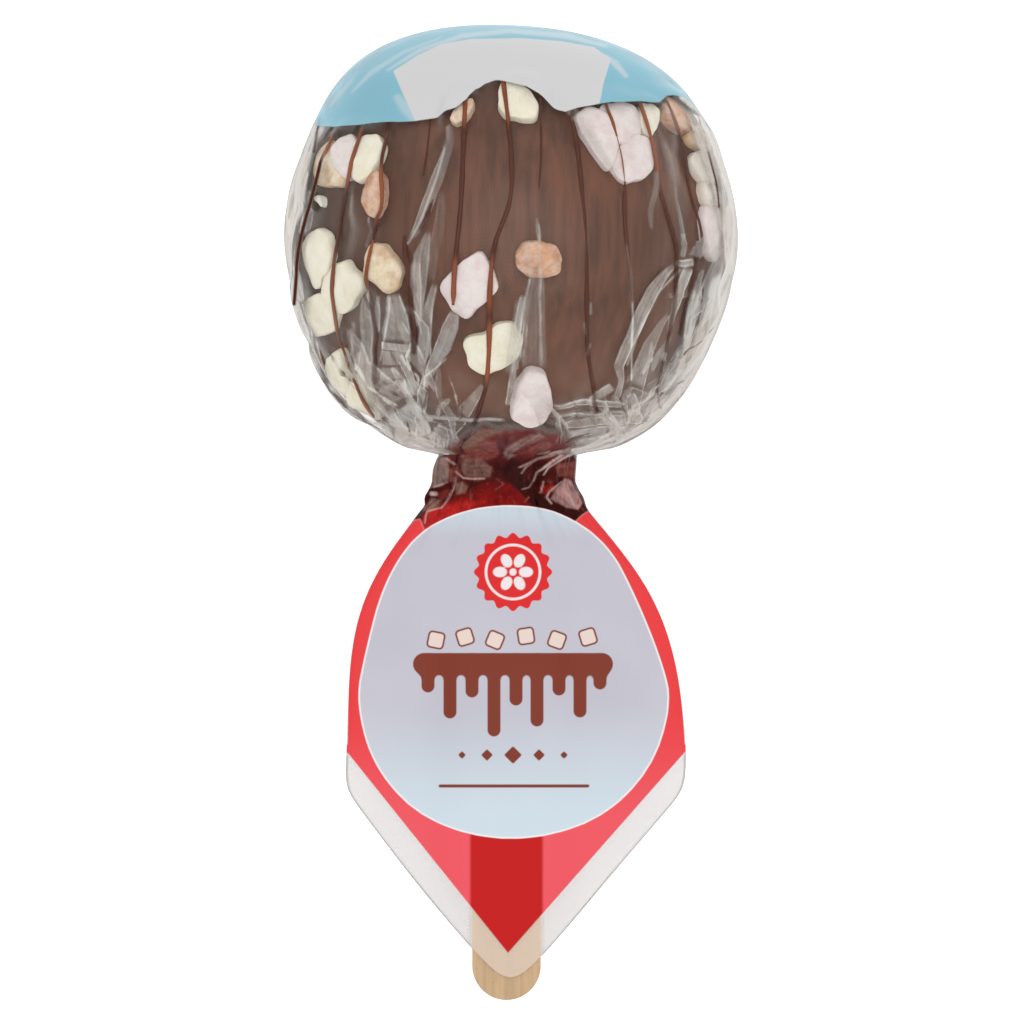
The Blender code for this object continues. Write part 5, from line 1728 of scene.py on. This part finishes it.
class APPLE_OT_bulb_film(bpy.types.Operator):
    """Make the film round the apple: the clear window, the far side and the printed crown"""
    bl_idname = "apple.bulb_film"
    bl_label = "Film round the apple"

    def execute(self, context):
        rows = marshmallow_rows()
        clear = film_material("clear film", seen(184, 175, 164))
        for name, left, right, low, high, columns, lines in WINDOW_PIECES:
            u, y = np.meshgrid(np.linspace(left, right, columns), np.linspace(low, high, lines))
            azimuth = 0.6 * np.arcsin(u) + 0.2 * math.pi * u
            points, fields = bulb_film(azimuth, y, rows)
            new_object(name, points.reshape(-1, 3), grid_faces(*y.shape), fields, clear, "clear_film")

        azimuth, y = np.meshgrid(np.linspace(math.pi / 2, 3 * math.pi / 2, 190),
                                 np.linspace(NECK_Y, CROWN_EDGE_Y, 130))
        points, fields = bulb_film(azimuth, y, rows)
        back_creases(fields, azimuth, y)
        new_object("film_back", points.reshape(-1, 3), grid_faces(*y.shape), fields, clear, "clear_film")

        lowest = math.asin((CROWN_EDGE_Y - FILM_FORM.middle_y) / FILM_FORM.up)
        azimuth, turn = np.meshgrid(np.linspace(-math.pi, math.pi, 400, endpoint=False),
                                    np.linspace(lowest, 0.495 * math.pi, 90))
        y = FILM_FORM.middle_y + FILM_FORM.up * np.sin(turn)
        points, fields = bulb_film(azimuth, y, rows)
        fields.update(crown_fields(azimuth, y))
        del fields["crush"]
        dome, faces = capped_tube(points, first=False)
        padded = {key: np.append(values.ravel(), values.ravel()[-1]) for key, values in fields.items()}
        mat = film_material("printed crown film", seen(196, 192, 186), crown_print)
        new_object("film_crown", dome, faces, padded, mat, "printed_film")
        return {"FINISHED"}


class APPLE_OT_tail_film(bpy.types.Operator):
    """Make the gathered neck and the flat printed tail of the bag"""
    bl_idname = "apple.tail_film"
    bl_label = "Neck and tail film"

    def execute(self, context):
        mat = film_material("printed tail film", seen(205, 202, 200), tail_print)
        for name, side, columns, lines in TAIL_PIECES:
            flat = np.linspace(TIP_Y, CRUSH_END_Y, lines, endpoint=False)
            flat[0] += 0.02 * MM
            crushed = np.linspace(CRUSH_END_Y, NECK_Y, lines // 2)
            share, y = np.meshgrid(np.linspace(0, 1, columns), np.concatenate([flat, crushed]))
            if side < 0:
                share = 1 - share
            points = tail_point(share, side, y)
            fields, relief = film_fields(points)
            fields.update(tail_fields(share, side, points))
            inner = smooth_step(0.0, 0.04, np.minimum(share, 1 - share))
            inner = inner * smooth_step(NECK_Y, NECK_Y - 2 * MM, y) * fields["crushed"]
            points[..., 2] += side * relief * inner
            new_object(name, points.reshape(-1, 3), grid_faces(*y.shape), fields, mat, "printed_film")
        return {"FINISHED"}


class APPLE_OT_neck(bpy.types.Operator):
    """Make the printed film that is gathered inside the neck"""
    bl_idname = "apple.neck"
    bl_label = "Gathered neck"

    def execute(self, context):
        mat, tree, shader = finish("gathered film in the neck",
                                   {"Roughness": 0.4, "Specular IOR Level": 0.15})
        folds = noise(tree, place(tree, (1.0, 0.35, 1.0)), 420.0, 4.0, 0.6, 0.8)
        red = mix_colour(tree, spread(tree, folds, 0.35, 0.62), seen(84, 9, 8), seen(150, 22, 20))
        # Painted shade: where the neck is in shade inside, the red turns to a very deep brown.
        colour = mix_colour(tree, point_value(tree, "painted_neck_shade"), red, seen(40, 16, 13))
        feed(tree, shader.inputs, {"Base Color": colour, "Normal": bump(tree, folds, 0.6, 0.5 * MM)})
        turn, y = np.meshgrid(np.linspace(0, 1, 160, endpoint=False), np.linspace(14, -13, 90) * MM)
        front = turn < 0.5
        share = np.where(front, 1 - 2 * turn, 2 * turn - 1)
        squeeze = 0.84 - 0.10 * smooth_step(-2 * MM, -13 * MM, y)
        points = tail_point(share, np.where(front, 1.0, -1.0), np.minimum(y, NECK_Y))
        middle = np.stack([points[..., 0].mean(1, keepdims=True) + 0 * y, y, AXIS_Z + 0 * y], axis=-1)
        crease = 1 + 0.05 * np.sin(38 * math.pi * turn + y / (2.2 * MM)) + 0.04 * np.sin(62 * math.pi * turn)
        points[..., 1] = y
        points = middle + (points - middle) * (squeeze * crease)[..., None]
        places = to_photo(points)
        painted_neck_shade = np.maximum.reduce([strip_mask(places, strip, soft) for soft, strip in NECK_SHADE])
        painted_neck_shade = painted_neck_shade[:, ::-1].ravel()
        tube, faces = capped_tube(points[:, ::-1])
        new_object("neck_gathers", tube, faces, {"painted_neck_shade": np.append(painted_neck_shade, [0, 0])}, mat, "printed_film")
        return {"FINISHED"}


class APPLE_OT_stick(bpy.types.Operator):
    """Make the stick of bare wood"""
    bl_idname = "apple.stick"
    bl_label = "Wooden stick"

    def execute(self, context):
        wood = context.scene.apple_colours.wood
        mat, tree, shader = finish("bare wood", {"Roughness": 0.62})
        where = place(tree, (1.0, 0.05, 1.0))
        rings = noise(tree, where, 900.0, 3.0, 0.55, 0.3)
        pores = noise(tree, place(tree, (1.0, 0.12, 1.0)), 3200.0, 2.0, 0.5)
        specks = noise(tree, place(tree, (1.0, 0.6, 1.0)), 1500.0, 2.0, 0.5)
        colour = mix_colour(tree, spread(tree, rings, 0.35, 0.65), shaded(wood, 0.84), wood)
        colour = mix_colour(tree, spread(tree, pores, 0.6, 0.75, 0.0, 0.4), colour, shaded(wood, 0.55))
        colour = mix_colour(tree, spread(tree, specks, 0.70, 0.76, 0.0, 0.6), colour, shaded(wood, 0.3))
        feed(tree, shader.inputs, {"Base Color": colour, "Normal": bump(tree, rings, 0.25, 0.1 * MM)})
        points, faces = capped_tube(stick_rings())
        new_object("stick_wood", points, faces, {}, mat, "bare_wood", "stick")
        return {"FINISHED"}


class APPLE_OT_stage(bpy.types.Operator):
    """Make the pale floor, the soft studio light and the camera over it"""
    bl_idname = "apple.stage"
    bl_label = "Stage"

    def execute(self, context):
        scene = context.scene
        pale = scene.apple_colours.floor
        mat, tree, shader = finish("pale floor", {"Roughness": 0.9, "Emission Color": (1.0, 1.0, 1.0, 1.0),
                                                  "Emission Strength": 0.5})
        soft = noise(tree, place(tree), 3.0, 2.0, 0.5)
        feed(tree, shader.inputs, {"Base Color": mix_colour(tree, soft, shaded(pale, 0.985), pale)})
        corners = np.array([(-1, -1, 0), (1, -1, 0), (1, 1, 0), (-1, 1, 0)]) * FLOOR_HALF
        floor = new_object("floor", corners, [[0, 1, 2, 3]], {}, mat)

        world = bpy.data.worlds.new("studio")
        scene.world = world
        world.use_nodes = True
        sky = world.node_tree.nodes["Background"]
        feed(world.node_tree, sky.inputs, {"Color": (1.0, 1.0, 1.0, 1.0), "Strength": SKY_STRENGTH})
        light = bpy.data.lights.new("key", "AREA")
        light.size = LAMP_SIZE
        light.energy = LAMP_POWER
        lamp = bpy.data.objects.new("key", light)
        lamp.location = LAMP_PLACE
        aim = Vector((0.0, 0.0, AXIS_Z)) - Vector(LAMP_PLACE)
        lamp.rotation_euler = aim.to_track_quat("-Z", "Y").to_euler()
        scene.collection.objects.link(lamp)

        lens = bpy.data.cameras.new("camera")
        lens.lens = LENS
        lens.sensor_width = SENSOR
        lens.clip_end = 10.0
        camera = bpy.data.objects.new("camera", lens)
        camera.location = (*CAMERA_PLACE, AXIS_Z + CAMERA_RISE)
        scene.collection.objects.link(camera)
        scene.camera = camera
        scene.view_settings.view_transform = "Standard"
        scene.cycles.transparent_max_bounces = FILM_BOUNCES
        return {"FINISHED"}


class APPLE_PT_build(bpy.types.Panel):
    """Sizes, colours and building steps of the wrapped apple"""
    bl_idname = "APPLE_PT_build"
    bl_label = "Wrapped apple"
    bl_space_type = "VIEW_3D"
    bl_region_type = "UI"
    bl_category = "Wrapped apple"

    def draw(self, context):
        for settings in (context.scene.apple_sizes, context.scene.apple_colours):
            box = self.layout.box()
            for key in settings.__annotations__:
                box.prop(settings, key)
        for step in STEPS:
            self.layout.operator("apple." + step)


CLASSES = (AppleSizes, AppleColours, APPLE_OT_body, APPLE_OT_marshmallows, APPLE_OT_drizzle,
           APPLE_OT_bulb_film, APPLE_OT_tail_film, APPLE_OT_neck, APPLE_OT_stick, APPLE_OT_stage,
           APPLE_PT_build)
STEPS = ("body", "marshmallows", "drizzle", "bulb_film", "tail_film", "neck", "stick", "stage")


def register():
    for cls in CLASSES:
        bpy.utils.register_class(cls)
    bpy.types.Scene.apple_sizes = PointerProperty(type=AppleSizes)
    bpy.types.Scene.apple_colours = PointerProperty(type=AppleColours)


def unregister():
    del bpy.types.Scene.apple_colours
    del bpy.types.Scene.apple_sizes
    for cls in reversed(CLASSES):
        bpy.utils.unregister_class(cls)


def main():
    register()
    for step in STEPS:
        getattr(bpy.ops.apple, step)()


if __name__ == "__main__":
    main()
